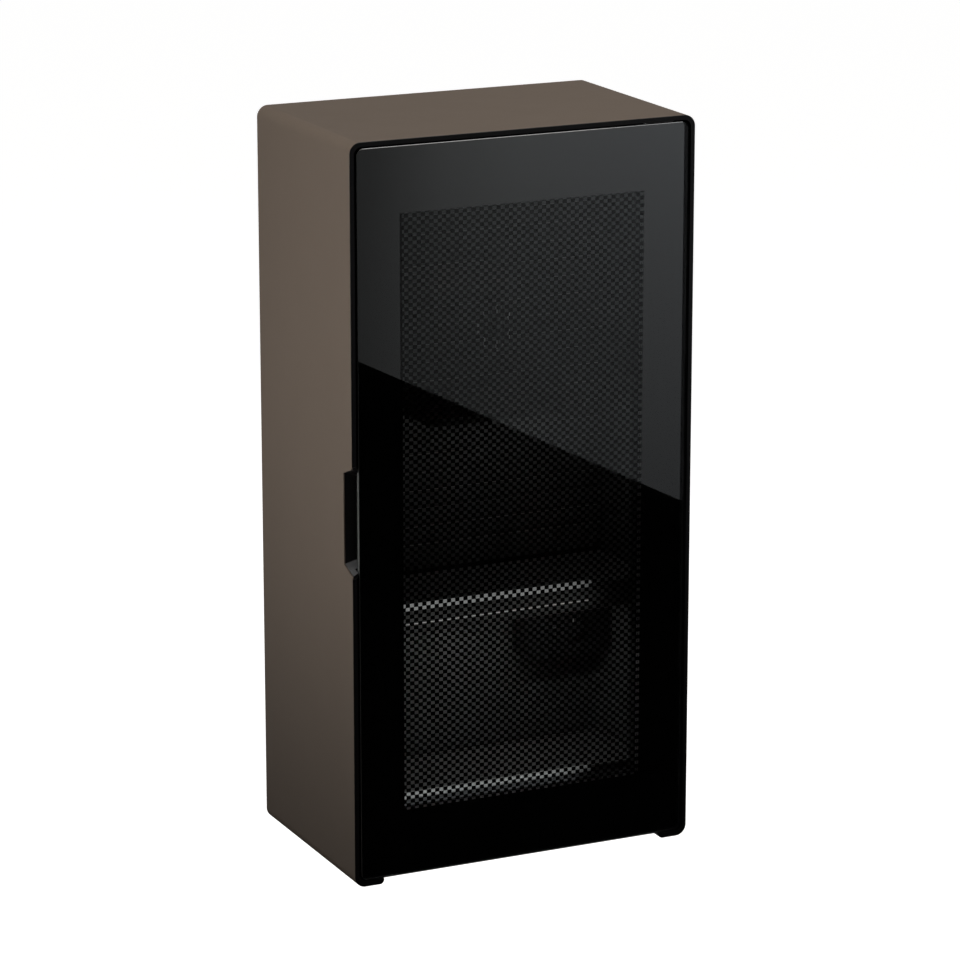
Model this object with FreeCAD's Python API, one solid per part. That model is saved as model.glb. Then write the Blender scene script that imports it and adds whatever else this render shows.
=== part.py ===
import FreeCAD, Part
import math
import os

# A slim minibar that hangs on a wall: painted sleeve, black front frame, flush glass door.
# Millimetres. X runs to the right seen from the room, Y from the room into the wall, Z up.
# The origin is the middle of the wall plate's four bolt holes, on the wall's face.

V = FreeCAD.Vector

# Cabinet
casing_width = 400.0
casing_height = 808.0
casing_depth = 247.0
casing_radius = 12.4
casing_sheet = 1.2
casing_return = 14.0
wall_gap = 14.0
bolt_inset = 168.0

# Clearances and one overrun for every cut
fit_gap = 0.2
running_gap = 0.3
bore_gap = 0.05
overrun = 5.0

# Front frame
bezel_lip = 0.6
rim_width = 5.0
rim_depth = 3.4
rim_wall = 1.6
rim_edge_radius = 0.5
seal_depth = 36.0
seal_flange = 2.5
mouth_side_inset = 50.0
mouth_bottom = 72.0
mouth_top_inset = 60.0
foot_width = 34.0
foot_height = 6.4
foot_cut_depth = 24.0
foot_radius = 5.4

# Door glass
door_gap_side = 2.8
door_gap_end = 2.0
glass_thickness = 6.0
glass_radius = 7.5
glass_arris = 0.4
window_side_margin = 50.2
window_end_margin = 71.25
print_thickness = 0.2
spacer_width = 6.0
spacer_depth = 8.2
pane_thickness = 4.0
pane_overlap = 6.5

# Door frame, gasket and its magnets
frame_side_inset = 26.0
frame_end_inset = 22.0
frame_back = 30.0
frame_radius = 5.0
frame_lip = 0.2
gasket_width = 14.0
gasket_base = 2.0
gasket_neck = 7.0
gasket_head = 2.4
gasket_radius = 6.0
magnet_width = 8.0
magnet_thickness = 1.4
strike_margin = 1.0

# Hinges
pivot_inset = 20.0
pivot_back = 9.9
pin_radius = 2.5
pin_length = 19.0
hinge_plate = 3.0
hinge_plate_left = 4.5
hinge_plate_right = 15.0
hinge_plate_front = 5.4
hinge_plate_back = 23.0
hinge_plate_radius = 3.0
block_height = 20.0
block_depth = 7.8
block_reach = 28.0
block_nose = 6.0
block_gap = 0.6
washer_radius = 3.6

# Grip pocket in the left side
grip_depth = 21.7
grip_rear_height = 100.0
grip_front_height = 117.0
grip_centre = 404.9
grip_reach = 26.6
grip_wall = 1.6
grip_floor_height = 84.0
grip_floor_depth = 17.0
grip_radius = 2.0
grip_mouth_share = 0.5

# Inner cabinet
cavity_side_inset = 30.0
cavity_bottom = 72.0
cavity_top_inset = 40.0
cavity_back = 165.0
cavity_radius = 14.0
cavity_back_radius = 8.0
liner_wall = 2.0
liner_flange_width = 18.0
ledge_width = 6.0
ledge_height = 5.0
ledge_radius = 1.5
foam_back = 195.0
back_plate = 0.8

# Slotted back panel in the upper compartment
panel_front = 153.0
panel_thickness = 4.0
panel_skirt = 2.4
panel_side_gap = 1.5
panel_top_gap = 4.0
groove_pitch = 20.0
groove_depth = 2.2
groove_height = 4.0
grille_radius = 26.0
grille_slot = 4.2
grille_pitch = 7.4

# Shelves
shelf_front = 42.0
shelf_plate = 3.0
shelf_height = 8.4
shelf_wall = 2.6
shelf_radius = 16.0
small_shelf_width = 190.0
small_shelf_right_gap = 72.0
small_shelf_left_gap = 2.0
upper_shelf_drop = 130.0
middle_shelf_drop = 142.4
hook_width = 16.0
hook_height = 3.2
hook_inset_share = 0.18

# Main shelf, with its light bar and trim
main_shelf_top = 294.4
main_shelf_height = 33.4
main_shelf_wall = 3.0
main_shelf_radius = 4.0
main_rib = 2.4
light_bar_height = 6.6
light_bar_depth = 6.0
light_bar_right_gap = 69.0
light_bar_radius = 2.0
led_board = 1.2
led_board_height = 5.0
led_size = 2.8
led_rise = 0.8
led_count = 12
trim_drop = 20.6
trim_height = 1.3
trim_depth = 1.0

# Floor tray
floor_top = 82.5
floor_plate = 2.5
floor_lip = 2.0
floor_rear_gap = 2.0

# Thermostat
thermostat_width = 103.0
thermostat_bottom = 182.0
thermostat_depth = 38.0
thermostat_radius = 9.0
thermostat_wall_gap = 2.0
thermostat_wall = 2.4
knob_radius = 13.0
knob_depth = 11.0
knob_grips = 12
knob_grip_radius = 1.6
knob_inset = 51.0
knob_rise = 36.0
knob_stem_radius = 3.0
knob_stem_depth = 7.0

# Cooling module
module_x = 40.0
module_inset = 248.0
pocket_half = 46.0
pocket_back = 186.0
cold_fan_size = 60.0
cold_fan_depth = 12.0
cold_sink_size = 84.0
cold_sink_base = 4.0
cold_fin_height = 11.0
cold_fin_count = 15
cold_fin = 1.2
block_size = 44.0
peltier_size = 40.0
peltier_thickness = 4.0
hot_sink_width = 150.0
hot_sink_height = 120.0
hot_sink_base = 5.0
hot_fin_height = 20.0
hot_fin_count = 21
hot_fin = 1.4
hot_fan_size = 92.0
hot_fan_depth = 15.0
post_radius = 4.5

# Fans
fan_corner = 4.0
fan_wall = 1.8
fan_hub_share = 0.24
fan_hub_wall = 1.6
fan_strut = 2.2
fan_strut_depth = 2.0
fan_strut_count = 4
fan_shaft_radius = 1.5
fan_tip_gap = 1.2
fan_blade = 1.3
fan_blade_camber_share = 0.09
fan_root_pitch = 44.0
fan_tip_pitch = 26.0
fan_blade_count = 7
fan_hole_radius = 2.1
fan_hole_inset = 5.0

# Electronics in the machine bay
supply_width = 96.0
supply_height = 150.0
supply_depth = 36.0
supply_x = -90.0
supply_bottom = 120.0
supply_radius = 2.5
supply_wall = 1.2
board_width = 110.0
board_height = 80.0
board_thickness = 1.6
board_x = 70.0
board_bottom = 150.0
standoff_radius = 3.5
standoff_length = 12.0
standoff_inset = 6.0
chip_size = 22.0
chip_height = 8.0

# Rear panel
rear_sheet = 1.0
rear_edge_gap = 1.5
vent_width = 46.0
vent_height = 4.0
vent_pitch_x = 58.0
vent_pitch_z = 10.0
vent_columns = 5
vent_rows = 6
upper_vent_inset = 44.0
lower_vent_height = 96.0
rear_grille_radius = 42.0
rear_grille_slot = 5.0
rear_grille_pitch = 9.0

# Cable gland, without a cable
gland_radius = 4.0
gland_wall = 3.0
gland_flange = 3.2
gland_depth = 2.4
gland_inset = 105.0
gland_height = 46.0

# Mains switch under the casing
switch_inset = 70.0
switch_bay_gap = 20.2
switch_length = 21.0
switch_width = 15.0
switch_body = 14.0
switch_flange = 1.6
switch_flange_width = 2.2
rocker_gap = 0.8
rocker_tilt = 7.0
rocker_height = 6.0
rocker_pin_radius = 1.2

# Wall fixing
plate_width = 260.0
plate_height = 90.0
plate_sheet = 2.5
plate_radius = 8.0
bolt_spacing_x = 200.0
bolt_spacing_z = 50.0
bolt_hole_radius = 4.25
tongue_gap = 7.5
tongue_height = 16.0
rail_width = 250.0
rail_sheet = 2.0
rail_flange = 30.0
rail_tongue = 14.0
rail_tongue_gap = 1.5
rail_screw_count = 5
bumper_radius = 15.0
bumper_inset = 50.0
bumper_height = 40.0
bumper_edge = 2.0

# Screws
screw_head_radius = 3.2
screw_head_height = 1.8
screw_radius = 1.6
screw_length = 6.0
screw_socket_radius = 1.6
screw_socket_depth = 1.0

# Places worked out from the sizes above
half = casing_width / 2
top = bolt_inset
bottom = top - casing_height
front = -(wall_gap + casing_depth)
back = -wall_gap
face = front - bezel_lip
inset = casing_sheet + fit_gap
glass_side = half - rim_width - door_gap_side
glass_bottom = bottom + rim_width + door_gap_end
glass_top = top - rim_width - door_gap_end
glass_back = face + glass_thickness
print_back = glass_back + print_thickness
window_half_width = glass_side - window_side_margin
window_bottom = glass_bottom + window_end_margin
window_top = glass_top - window_end_margin
frame_side = glass_side - frame_side_inset
frame_bottom = glass_bottom + frame_end_inset
frame_top = glass_top - frame_end_inset
frame_rear = front + frame_back
seal = front + seal_depth
pivot_x = glass_side - pivot_inset
pivot_y = face + pivot_back
mouth_half_width = half - mouth_side_inset
mouth_top = top - mouth_top_inset
liner_front = seal + seal_flange
cavity_front = liner_front + liner_wall
cavity_half_width = half - cavity_side_inset
cavity_floor = bottom + cavity_bottom
cavity_ceiling = top - cavity_top_inset
cavity_rear = front + cavity_back
foam_rear = front + foam_back
panel_face = front + panel_front
main_top = bottom + main_shelf_top
main_bottom = main_top - main_shelf_height
shelf_face = front + shelf_front
upper_level = cavity_ceiling - upper_shelf_drop
middle_level = upper_level - middle_shelf_drop
light_bar_right = cavity_half_width - light_bar_right_gap
thermostat_left = cavity_half_width - thermostat_wall_gap - thermostat_width
knob_x = thermostat_left + knob_inset
knob_z = bottom + thermostat_bottom + knob_rise
module_z = top - module_inset
gland_x = gland_inset - half
switch_x = half - switch_inset
switch_y = foam_rear + back_plate + switch_bay_gap
bumper_x = half - bumper_inset


def block(x0, x1, y0, y1, z0, z1):
    """A plain block between two corners."""
    return Part.makeBox(x1 - x0, y1 - y0, z1 - z0, V(x0, y0, z0))


def edges_along(shape, axis):
    """The straight edges of a shape that run along one axis."""
    return [e for e in shape.Edges if len(e.Vertexes) > 1 and
            abs((e.Vertexes[1].Point - e.Vertexes[0].Point).normalize().dot(axis)) > math.cos(math.radians(1))]


def rounded(x0, x1, y0, y1, z0, z1, radius, axis=V(0, 1, 0)):
    """A block whose four edges along one axis are rounded."""
    body = block(x0, x1, y0, y1, z0, z1)
    return body.makeFillet(radius, edges_along(body, axis))


def ring(outer, inner):
    """A frame: the outer solid less the inner one."""
    return outer.cut(inner)


def rod(x, y, z, radius, length, axis):
    """A round bar that starts at a point and runs along an axis."""
    return Part.makeCylinder(radius, length, V(x, y, z), axis)


def prism_x(points, x0, x1):
    """A profile drawn in the Y-Z plane, pulled along X."""
    ring_points = [V(x0, y, z) for y, z in points]
    wire = Part.makePolygon(ring_points + ring_points[:1])
    return Part.Face(wire).extrude(V(x1 - x0, 0, 0))


def prism_z(points, z0, z1):
    """A profile drawn in the X-Y plane, pulled along Z."""
    ring_points = [V(x, y, z0) for x, y in points]
    wire = Part.makePolygon(ring_points + ring_points[:1])
    return Part.Face(wire).extrude(V(0, 0, z1 - z0))


def edges_where(shape, test):
    """The edges whose middle passes a test of its X, Y and Z."""
    return [e for e in shape.Edges if test(e.CenterOfMass)]


def screw(x, y, z, axis, length=screw_length):
    """A pan-head screw: its head stands on the point, its shank runs back along the axis."""
    head = rod(x, y, z, screw_head_radius, screw_head_height, axis)
    head = head.makeFillet(screw_head_height / 2, [head.Edges[0]])
    tip = V(x, y, z) + axis * (screw_head_height - screw_socket_depth)
    socket = Part.makeCylinder(screw_socket_radius, screw_head_height, tip, axis)
    shank = rod(x, y, z, screw_radius, length, axis * -1)
    return head.cut(socket).fuse(shank).removeSplitter()


def flush_screw(x, y, z, axis, length, gap=0.0):
    """A countersunk screw whose head lies flush with the point; with a gap it is the screw's hole."""
    depth = screw_head_radius - screw_radius
    head = Part.makeCone(screw_head_radius + gap, screw_radius + gap, depth, V(x, y, z), axis * -1)
    shank = rod(x, y, z, screw_radius + gap, length + gap, axis * -1)
    body = head.fuse(shank)
    if gap:
        return body.fuse(rod(x, y, z, screw_head_radius + gap, overrun, axis))
    socket = rod(x, y, z, screw_socket_radius, screw_socket_depth, axis * -1)
    return body.cut(socket).removeSplitter()


def screw_hole(x, y, z, axis, depth):
    """The clearance hole of such a screw."""
    start = V(x, y, z) + axis * overrun
    return Part.makeCylinder(screw_radius + fit_gap, depth + overrun, start, axis * -1)


def grip_outline(grow, reach=0.0):
    """The grip cut-out's corners in the side plane, front to back, grown by a wall."""
    middle = bottom + grip_centre
    lean = (grip_front_height - grip_rear_height) / 2 / grip_depth
    ahead = bezel_lip + overrun
    low = middle - grip_front_height / 2 - lean * ahead - grow
    high = middle + grip_front_height / 2 + lean * ahead + grow
    rear_low = middle - grip_rear_height / 2 - grow + reach
    rear_high = middle + grip_rear_height / 2 + grow - reach
    return [(front - ahead, low), (front + grip_depth + grow, rear_low),
            (front + grip_depth + grow, rear_high), (front - ahead, high)]


def grip_cutter(grow, x0, x1):
    """The grip cut-out as a solid between two places along X, its rear corners rounded."""
    body = prism_x(grip_outline(grow), x0, x1)
    rear = front + grip_depth + grow
    corners = [e for e in edges_along(body, V(1, 0, 0)) if abs(e.CenterOfMass.y - rear) < fit_gap]
    return body.makeFillet(grip_radius + grow, corners)


def foot_cutter(depth, height):
    """The gap under the door between the two feet, whose ends are rounded."""
    span = half - foot_width
    gap = block(-span, span, front - overrun, front + depth, bottom - overrun, height)
    for side in (-1, 1):
        x0, x1 = sorted((side * span, side * (span + foot_radius)))
        corner = block(x0, x1, front - overrun, front + depth, bottom - overrun, bottom + foot_radius)
        round_end = rod(side * (span + foot_radius), front - 2 * overrun, bottom + foot_radius, foot_radius,
                        depth + 4 * overrun, V(0, 1, 0))
        gap = gap.fuse(corner.cut(round_end))
    return gap


def casing():
    """Painted sheet sleeve with a return at the rear, the grip cut-out and the gap under the door."""
    outer = rounded(-half, half, front, back, bottom, top, casing_radius)
    inner = rounded(-half + casing_sheet, half - casing_sheet, front - overrun, back + overrun,
                    bottom + casing_sheet, top - casing_sheet, casing_radius - casing_sheet)
    sleeve = outer.cut(inner)
    lip_front = back - rear_sheet - casing_sheet
    lip = rounded(-half + casing_sheet / 2, half - casing_sheet / 2, lip_front, back - rear_sheet,
                  bottom + casing_sheet / 2, top - casing_sheet / 2, casing_radius - casing_sheet / 2)
    hole = block(-half + casing_return, half - casing_return, lip_front - overrun, back + overrun,
                 bottom + casing_return, top - casing_return)
    body = sleeve.fuse(lip.cut(hole)).removeSplitter()
    body = body.cut(grip_cutter(0.0, -half - overrun, -half + casing_sheet + overrun))
    body = body.cut(foot_cutter(foot_cut_depth, bottom + casing_sheet + fit_gap))
    body = body.cut(switch_opening(fit_gap))
    for x, z in rear_screw_places():
        body = body.cut(screw_hole(x, back, z, V(0, 1, 0), screw_length))
    return body.removeSplitter()


def bezel():
    """Black front frame: rim, wall inside the sleeve, sealing flange and two corner feet."""
    def outline(margin, y0, y1):
        return rounded(-half + margin, half - margin, y0, y1, bottom + margin, top - margin,
                       casing_radius - margin)
    opening = rounded(-half + rim_width, half - rim_width, face - overrun, seal, bottom + foot_height,
                      top - rim_width, casing_radius - rim_width + door_gap_end / 2)
    lip = outline(0.0, face, front)
    lip = lip.makeFillet(rim_edge_radius, edges_where(lip, lambda c: abs(c.y - face) < rim_edge_radius / 2))
    rim = lip.fuse(outline(inset, front, front + rim_depth)).cut(opening)
    inner = inset + rim_wall
    wall = outline(inset, front, seal + seal_flange).cut(outline(inner, front - overrun, seal))
    mouth = rounded(-mouth_half_width, mouth_half_width, seal - overrun, seal + seal_flange + overrun,
                    bottom + mouth_bottom, mouth_top, cavity_radius)
    body = rim.fuse(wall.cut(mouth)).removeSplitter()
    body = body.cut(foot_cutter(foot_cut_depth, glass_bottom)).cut(strike_ring(fit_gap))
    notch = grip_cutter(grip_wall + fit_gap, -half - overrun, -half + rim_width + overrun)
    body = body.cut(notch)
    for z, way in hinge_levels():
        for x, y in hinge_screw_places():
            body = body.cut(rod(x, y, z, screw_radius + fit_gap, hinge_plate + 2 * rim_wall, V(0, 0, way)))
    return body.removeSplitter()


def grip_scoop():
    """Moulded finger pocket behind the glass edge, open to the side and to the front."""
    outer = grip_cutter(grip_wall, -half + casing_sheet + fit_gap, -half + grip_reach + grip_wall)
    outer = outer.common(block(-half, half, front, back, bottom, top))
    middle = bottom + grip_centre
    mouth = grip_outline(0.0)
    deep_back = front + grip_floor_depth
    low = middle - grip_floor_height / 2
    high = middle + grip_floor_height / 2
    ahead = mouth[0][0]
    deep = [(ahead, low), (deep_back, low), (deep_back, high), (ahead, high)]
    wires = []
    for x, points in ((-half, mouth), (-half + grip_reach, deep)):
        corners = [V(x, y, z) for y, z in points]
        wires.append(Part.makePolygon(corners + corners[:1]))
    pocket = Part.makeLoft(wires, True, True)
    rear = edges_where(pocket, lambda c: c.x < 0 and c.y > front + grip_floor_depth / 2
                       and -half < c.x < -half + grip_reach and abs(c.z - middle) > grip_floor_height / 3)
    pocket = pocket.makeFillet(grip_radius, rear)
    body = outer.cut(pocket)
    clear = block(-half + rim_width + door_gap_side / 2, 0.0, front - overrun, glass_back + door_gap_end,
                  bottom, top)
    return body.cut(clear).removeSplitter()


def liner():
    """Moulded inner cabinet: rounded tub, front flange, ledges and the pocket for the cooler."""
    inner = rounded(-cavity_half_width, cavity_half_width, liner_front - overrun, cavity_rear, cavity_floor,
                    cavity_ceiling, cavity_radius)
    inner = inner.makeFillet(cavity_back_radius, edges_where(inner, lambda c: c.y > cavity_rear - fit_gap))
    outer = rounded(-cavity_half_width - liner_wall, cavity_half_width + liner_wall, liner_front,
                    cavity_rear + liner_wall, cavity_floor - liner_wall, cavity_ceiling + liner_wall,
                    cavity_radius + liner_wall)
    outer = outer.makeFillet(cavity_back_radius + liner_wall,
                             edges_where(outer, lambda c: c.y > cavity_rear + liner_wall - fit_gap))
    reach = liner_flange_width + liner_wall
    flange = rounded(-cavity_half_width - reach, cavity_half_width + reach, liner_front, cavity_front,
                     cavity_floor - reach, cavity_ceiling + reach, cavity_radius + reach)
    x0, x1 = module_x - pocket_half, module_x + pocket_half
    z0, z1 = module_z - pocket_half, module_z + pocket_half
    pocket_end = front + pocket_back
    pocket = block(x0 - liner_wall, x1 + liner_wall, cavity_rear, pocket_end + liner_wall, z0 - liner_wall,
                   z1 + liner_wall)
    body = outer.fuse(flange).fuse(pocket).cut(inner)
    body = body.cut(block(x0, x1, cavity_rear - overrun, pocket_end, z0, z1))
    window = block_size / 2 + fit_gap
    body = body.cut(block(module_x - window, module_x + window, pocket_end - overrun,
                          pocket_end + liner_wall + overrun, module_z - window, module_z + window))
    ledge_end = cavity_rear - cavity_back_radius
    for side in (-1, 1):
        wall = side * cavity_half_width
        tip = wall - side * ledge_width
        ledge = block(min(wall + side * liner_wall, tip), max(wall + side * liner_wall, tip), shelf_face,
                      ledge_end, main_bottom - ledge_height, main_bottom)
        edges = edges_where(ledge, lambda c: abs(c.x - tip) < fit_gap and abs(c.y - shelf_face) > fit_gap
                            and abs(c.y - ledge_end) > fit_gap)
        body = body.fuse(ledge.makeFillet(ledge_radius, edges))
    return body.removeSplitter()


def liner_space(gap):
    """The room that the liner's tub and pocket take up in the foam."""
    reach = liner_wall + gap
    tub = rounded(-cavity_half_width - reach, cavity_half_width + reach, liner_front - overrun,
                  cavity_rear + reach, cavity_floor - reach, cavity_ceiling + reach, cavity_radius)
    side = pocket_half + reach
    pocket = block(module_x - side, module_x + side, cavity_rear, front + pocket_back + reach,
                   module_z - side, module_z + side)
    return tub.fuse(pocket)


def foam_insulation():
    """Foamed block between liner and casing, with the cold block's passage."""
    margin = casing_sheet + running_gap
    body = rounded(-half + margin, half - margin, cavity_front + fit_gap, foam_rear, bottom + margin,
                   top - margin, casing_radius)
    body = body.cut(liner_space(fit_gap))
    side = block_size / 2 + fit_gap
    return body.cut(block(module_x - side, module_x + side, cavity_rear, foam_rear + overrun,
                          module_z - side, module_z + side)).removeSplitter()


def foam_back_plate():
    """Thin sheet that closes the foam towards the machine bay."""
    margin = casing_sheet + running_gap
    plate = rounded(-half + margin, half - margin, foam_rear, foam_rear + back_plate, bottom + margin,
                    top - margin, casing_radius)
    side = block_size / 2 + fit_gap
    return plate.cut(block(module_x - side, module_x + side, foam_rear - overrun,
                           foam_rear + back_plate + overrun, module_z - side, module_z + side))


def grille_slots(x, z, radius, slot, pitch, y0, y1):
    """Upright slots whose ends follow a circle."""
    count = int(radius / pitch)
    slots = []
    for i in range(-count, count + 1):
        place = i * pitch
        reach = math.sqrt(radius ** 2 - (abs(place) + slot / 2) ** 2)
        if reach > slot:
            slots.append(block(x + place - slot / 2, x + place + slot / 2, y0, y1, z - reach, z + reach))
    return slots


def slotted_back_panel():
    """Cold air cover over the upper compartment's rear: shelf grooves, fan grille, skirt to the liner."""
    side = cavity_half_width - panel_side_gap
    low = main_top + panel_top_gap
    high = cavity_ceiling - panel_top_gap
    body = rounded(-side, side, panel_face, cavity_rear, low, high, cavity_radius)
    hollow = rounded(-side + panel_skirt, side - panel_skirt, panel_face + panel_thickness,
                     cavity_rear + overrun, low + panel_skirt, high - panel_skirt, cavity_radius - panel_skirt)
    trim = cavity_back_radius
    body = body.cut(hollow)
    body = body.cut(ring(block(-half, half, cavity_rear - trim, cavity_rear, bottom, top),
                         block(-side + trim, side - trim, cavity_rear - trim - overrun, cavity_rear + overrun,
                               low - overrun, high - trim)))
    legs = ring(block(-side + trim, side - trim, panel_face + panel_thickness / 2, cavity_rear, low,
                      high - trim),
                block(-side + trim + panel_skirt, side - trim - panel_skirt, panel_face,
                      cavity_rear + overrun, low + panel_skirt, high - trim - panel_skirt))
    body = body.fuse(legs)
    for z in groove_levels():
        body = body.cut(block(-side - overrun, side + overrun, panel_face - overrun, panel_face + groove_depth,
                              z - groove_height, z))
    for slot in grille_slots(module_x, module_z, grille_radius, grille_slot, grille_pitch,
                             panel_face - overrun, panel_face + panel_thickness + overrun):
        body = body.cut(slot)
    for x, z in fan_corners(cold_fan_size):
        body = body.cut(screw_hole(x, panel_face, z, V(0, -1, 0), 2 * panel_thickness))
    return body.removeSplitter()


def groove_levels():
    """Heights of the upper edges of the shelf grooves, one of them at each small shelf's hooks."""
    levels = []
    start = middle_level - shelf_plate
    step = middle_shelf_drop / round(middle_shelf_drop / groove_pitch)
    z = start - step * math.floor((start - main_top - groove_pitch) / step)
    while z < cavity_ceiling - groove_pitch:
        levels.append(z)
        z += step
    return levels


def small_shelf(left, z1):
    """A hollow tray shelf with rounded front corners and two hooks at the rear."""
    right = left + small_shelf_width
    z0 = z1 - shelf_height
    rear = panel_face
    body = block(left, right, shelf_face, rear, z0, z1)
    corners = [e for e in edges_along(body, V(0, 0, 1)) if e.CenterOfMass.y < shelf_face + fit_gap]
    body = body.makeFillet(shelf_radius, corners)
    hollow = block(left + shelf_wall, right - shelf_wall, shelf_face + shelf_wall, rear - shelf_wall,
                   z0 - overrun, z1 - shelf_plate)
    corners = [e for e in edges_along(hollow, V(0, 0, 1)) if e.CenterOfMass.y < shelf_face + shelf_wall + fit_gap]
    hollow = hollow.makeFillet(shelf_radius - shelf_wall, corners)
    body = body.cut(hollow)
    rim = edges_where(body, lambda c: c.z > z1 - fit_gap and c.y < rear - fit_gap)
    body = body.makeFillet(shelf_plate / 3, rim)
    inset_x = small_shelf_width * hook_inset_share
    hook_seat = z1 - shelf_plate - groove_height
    for x in (left + inset_x, right - inset_x):
        body = body.fuse(block(x - hook_width / 2, x + hook_width / 2, rear - shelf_wall,
                               panel_face + groove_depth - fit_gap, hook_seat, hook_seat + hook_height))
    return body.removeSplitter()


def upper_shelf():
    """Small shelf at the upper left."""
    return small_shelf(-cavity_half_width + small_shelf_left_gap, upper_level)


def middle_shelf():
    """Small shelf at the middle right."""
    return small_shelf(cavity_half_width - small_shelf_right_gap - small_shelf_width, middle_level)


def bar_box(z_top, margin):
    """A light bar's outline: flush with its shelf's front, top and left end."""
    return block(-cavity_half_width + margin, light_bar_right, shelf_face, shelf_face + light_bar_depth,
                 z_top - light_bar_height, z_top)


def bar_seat(z_top, margin):
    """The seat of a light bar in its shelf, open to the front, the top and the left end."""
    left = -cavity_half_width + margin - (overrun if margin < cavity_radius / 2 else fit_gap)
    return block(left, light_bar_right + fit_gap, shelf_face - overrun, shelf_face + light_bar_depth,
                 z_top - light_bar_height - fit_gap, z_top + overrun)


def main_shelf():
    """Deep moulded shelf that parts the compartments: plate, fascia, skirts and ribs below."""
    side = cavity_half_width - panel_side_gap
    rear = panel_face - running_gap
    deck = rounded(-side, side, shelf_face, rear, main_bottom, main_top, main_shelf_radius, V(1, 0, 0))
    hollow = block(-side + main_shelf_wall, side - main_shelf_wall, shelf_face + light_bar_depth
                   + main_shelf_wall + led_board + led_rise, rear - main_shelf_wall, main_bottom - overrun,
                   main_top - main_shelf_wall)
    body = deck.cut(hollow)
    y0 = shelf_face + light_bar_depth
    ribs = 4
    span = 2 * side / (ribs + 1)
    for i in range(1, ribs + 1):
        x = -side + i * span
        body = body.fuse(block(x - main_rib / 2, x + main_rib / 2, y0 + main_shelf_wall, rear - main_shelf_wall,
                               main_bottom + ledge_height, main_top - main_shelf_wall / 2))
    body = body.cut(bar_seat(main_top, panel_side_gap)).cut(led_channel(main_top, panel_side_gap))
    strip_top = main_top - trim_drop
    body = body.cut(block(-side - overrun, light_bar_right + fit_gap, shelf_face - overrun,
                          shelf_face + trim_depth, strip_top - trim_height, strip_top))
    body = body.cut(thermostat_box(fit_gap))
    return body.removeSplitter()


def led_channel(z_top, margin):
    """Slot behind a light bar for its strip of lamps."""
    z = z_top - light_bar_height / 2
    rear = shelf_face + light_bar_depth + led_board + led_rise
    return block(-cavity_half_width + margin + fit_gap, light_bar_right - light_bar_depth,
                 shelf_face + light_bar_depth - fit_gap, rear, z - led_board_height / 2 - fit_gap,
                 z + led_board_height / 2 + fit_gap)


def light_bar(z_top, margin):
    """Frosted bar in a shelf's front edge, with rounded front edges."""
    body = bar_box(z_top, margin)
    edges = [e for e in edges_along(body, V(1, 0, 0)) if e.CenterOfMass.y < shelf_face + fit_gap]
    return body.makeFillet(light_bar_radius, edges)


def led_strip(z_top, margin):
    """Narrow circuit strip with its row of lamps, behind a light bar."""
    z = z_top - light_bar_height / 2
    y1 = shelf_face + light_bar_depth + led_board + led_rise
    left = -cavity_half_width + margin + 2 * fit_gap
    right = light_bar_right - light_bar_depth - fit_gap
    body = block(left, right, y1 - led_board, y1, z - led_board_height / 2, z + led_board_height / 2)
    pitch = (right - left) / led_count
    for i in range(led_count):
        x = left + (i + 1 / 2) * pitch
        body = body.fuse(block(x - led_size / 2, x + led_size / 2, y1 - led_board - led_rise, y1 - led_board,
                               z - led_size / 2, z + led_size / 2))
    return body


def main_shelf_trim():
    """Bright strip let into the main shelf's fascia."""
    strip_top = main_top - trim_drop - fit_gap
    left = -cavity_half_width + panel_side_gap
    return block(left, light_bar_right, shelf_face, shelf_face + trim_depth - fit_gap / 2,
                 strip_top - trim_height + fit_gap * 2, strip_top)


def floor_tray():
    """Removable floor with the lower light bar's seat along its front."""
    side = cavity_half_width - panel_side_gap
    z1 = bottom + floor_top
    rear = cavity_rear - cavity_back_radius - floor_rear_gap
    body = rounded(-side, side, shelf_face, rear, cavity_floor, z1, cavity_radius / 2, V(0, 0, 1))
    pan_front = shelf_face + light_bar_depth + main_shelf_wall + led_board + led_rise
    pan = block(-side + floor_lip, side - floor_lip, pan_front, rear - floor_lip, z1 - floor_lip, z1 + overrun)
    pan = pan.makeFillet(floor_lip, edges_along(pan, V(0, 0, 1)))
    under = block(-side + floor_plate, side - floor_plate, pan_front, rear - floor_plate,
                  cavity_floor - overrun, z1 - floor_lip - floor_plate)
    body = body.cut(pan).cut(under)
    body = body.cut(bar_seat(z1, cavity_radius / 2)).cut(led_channel(z1, cavity_radius / 2))
    corner = cavity_radius
    round_wall = ring(block(-half, half, shelf_face - overrun, cavity_rear, cavity_floor, z1 + overrun),
                      rounded(-cavity_half_width + fit_gap, cavity_half_width - fit_gap, front, back,
                              cavity_floor, cavity_ceiling, corner))
    return body.cut(round_wall).removeSplitter()


def thermostat_box(gap):
    """The thermostat housing's room below the main shelf."""
    rear = cavity_rear
    return block(thermostat_left - gap, cavity_half_width - thermostat_wall_gap + gap,
                 rear - thermostat_depth - gap, rear + gap, bottom + thermostat_bottom - gap,
                 main_top - main_shelf_wall - fit_gap + gap)


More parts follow.
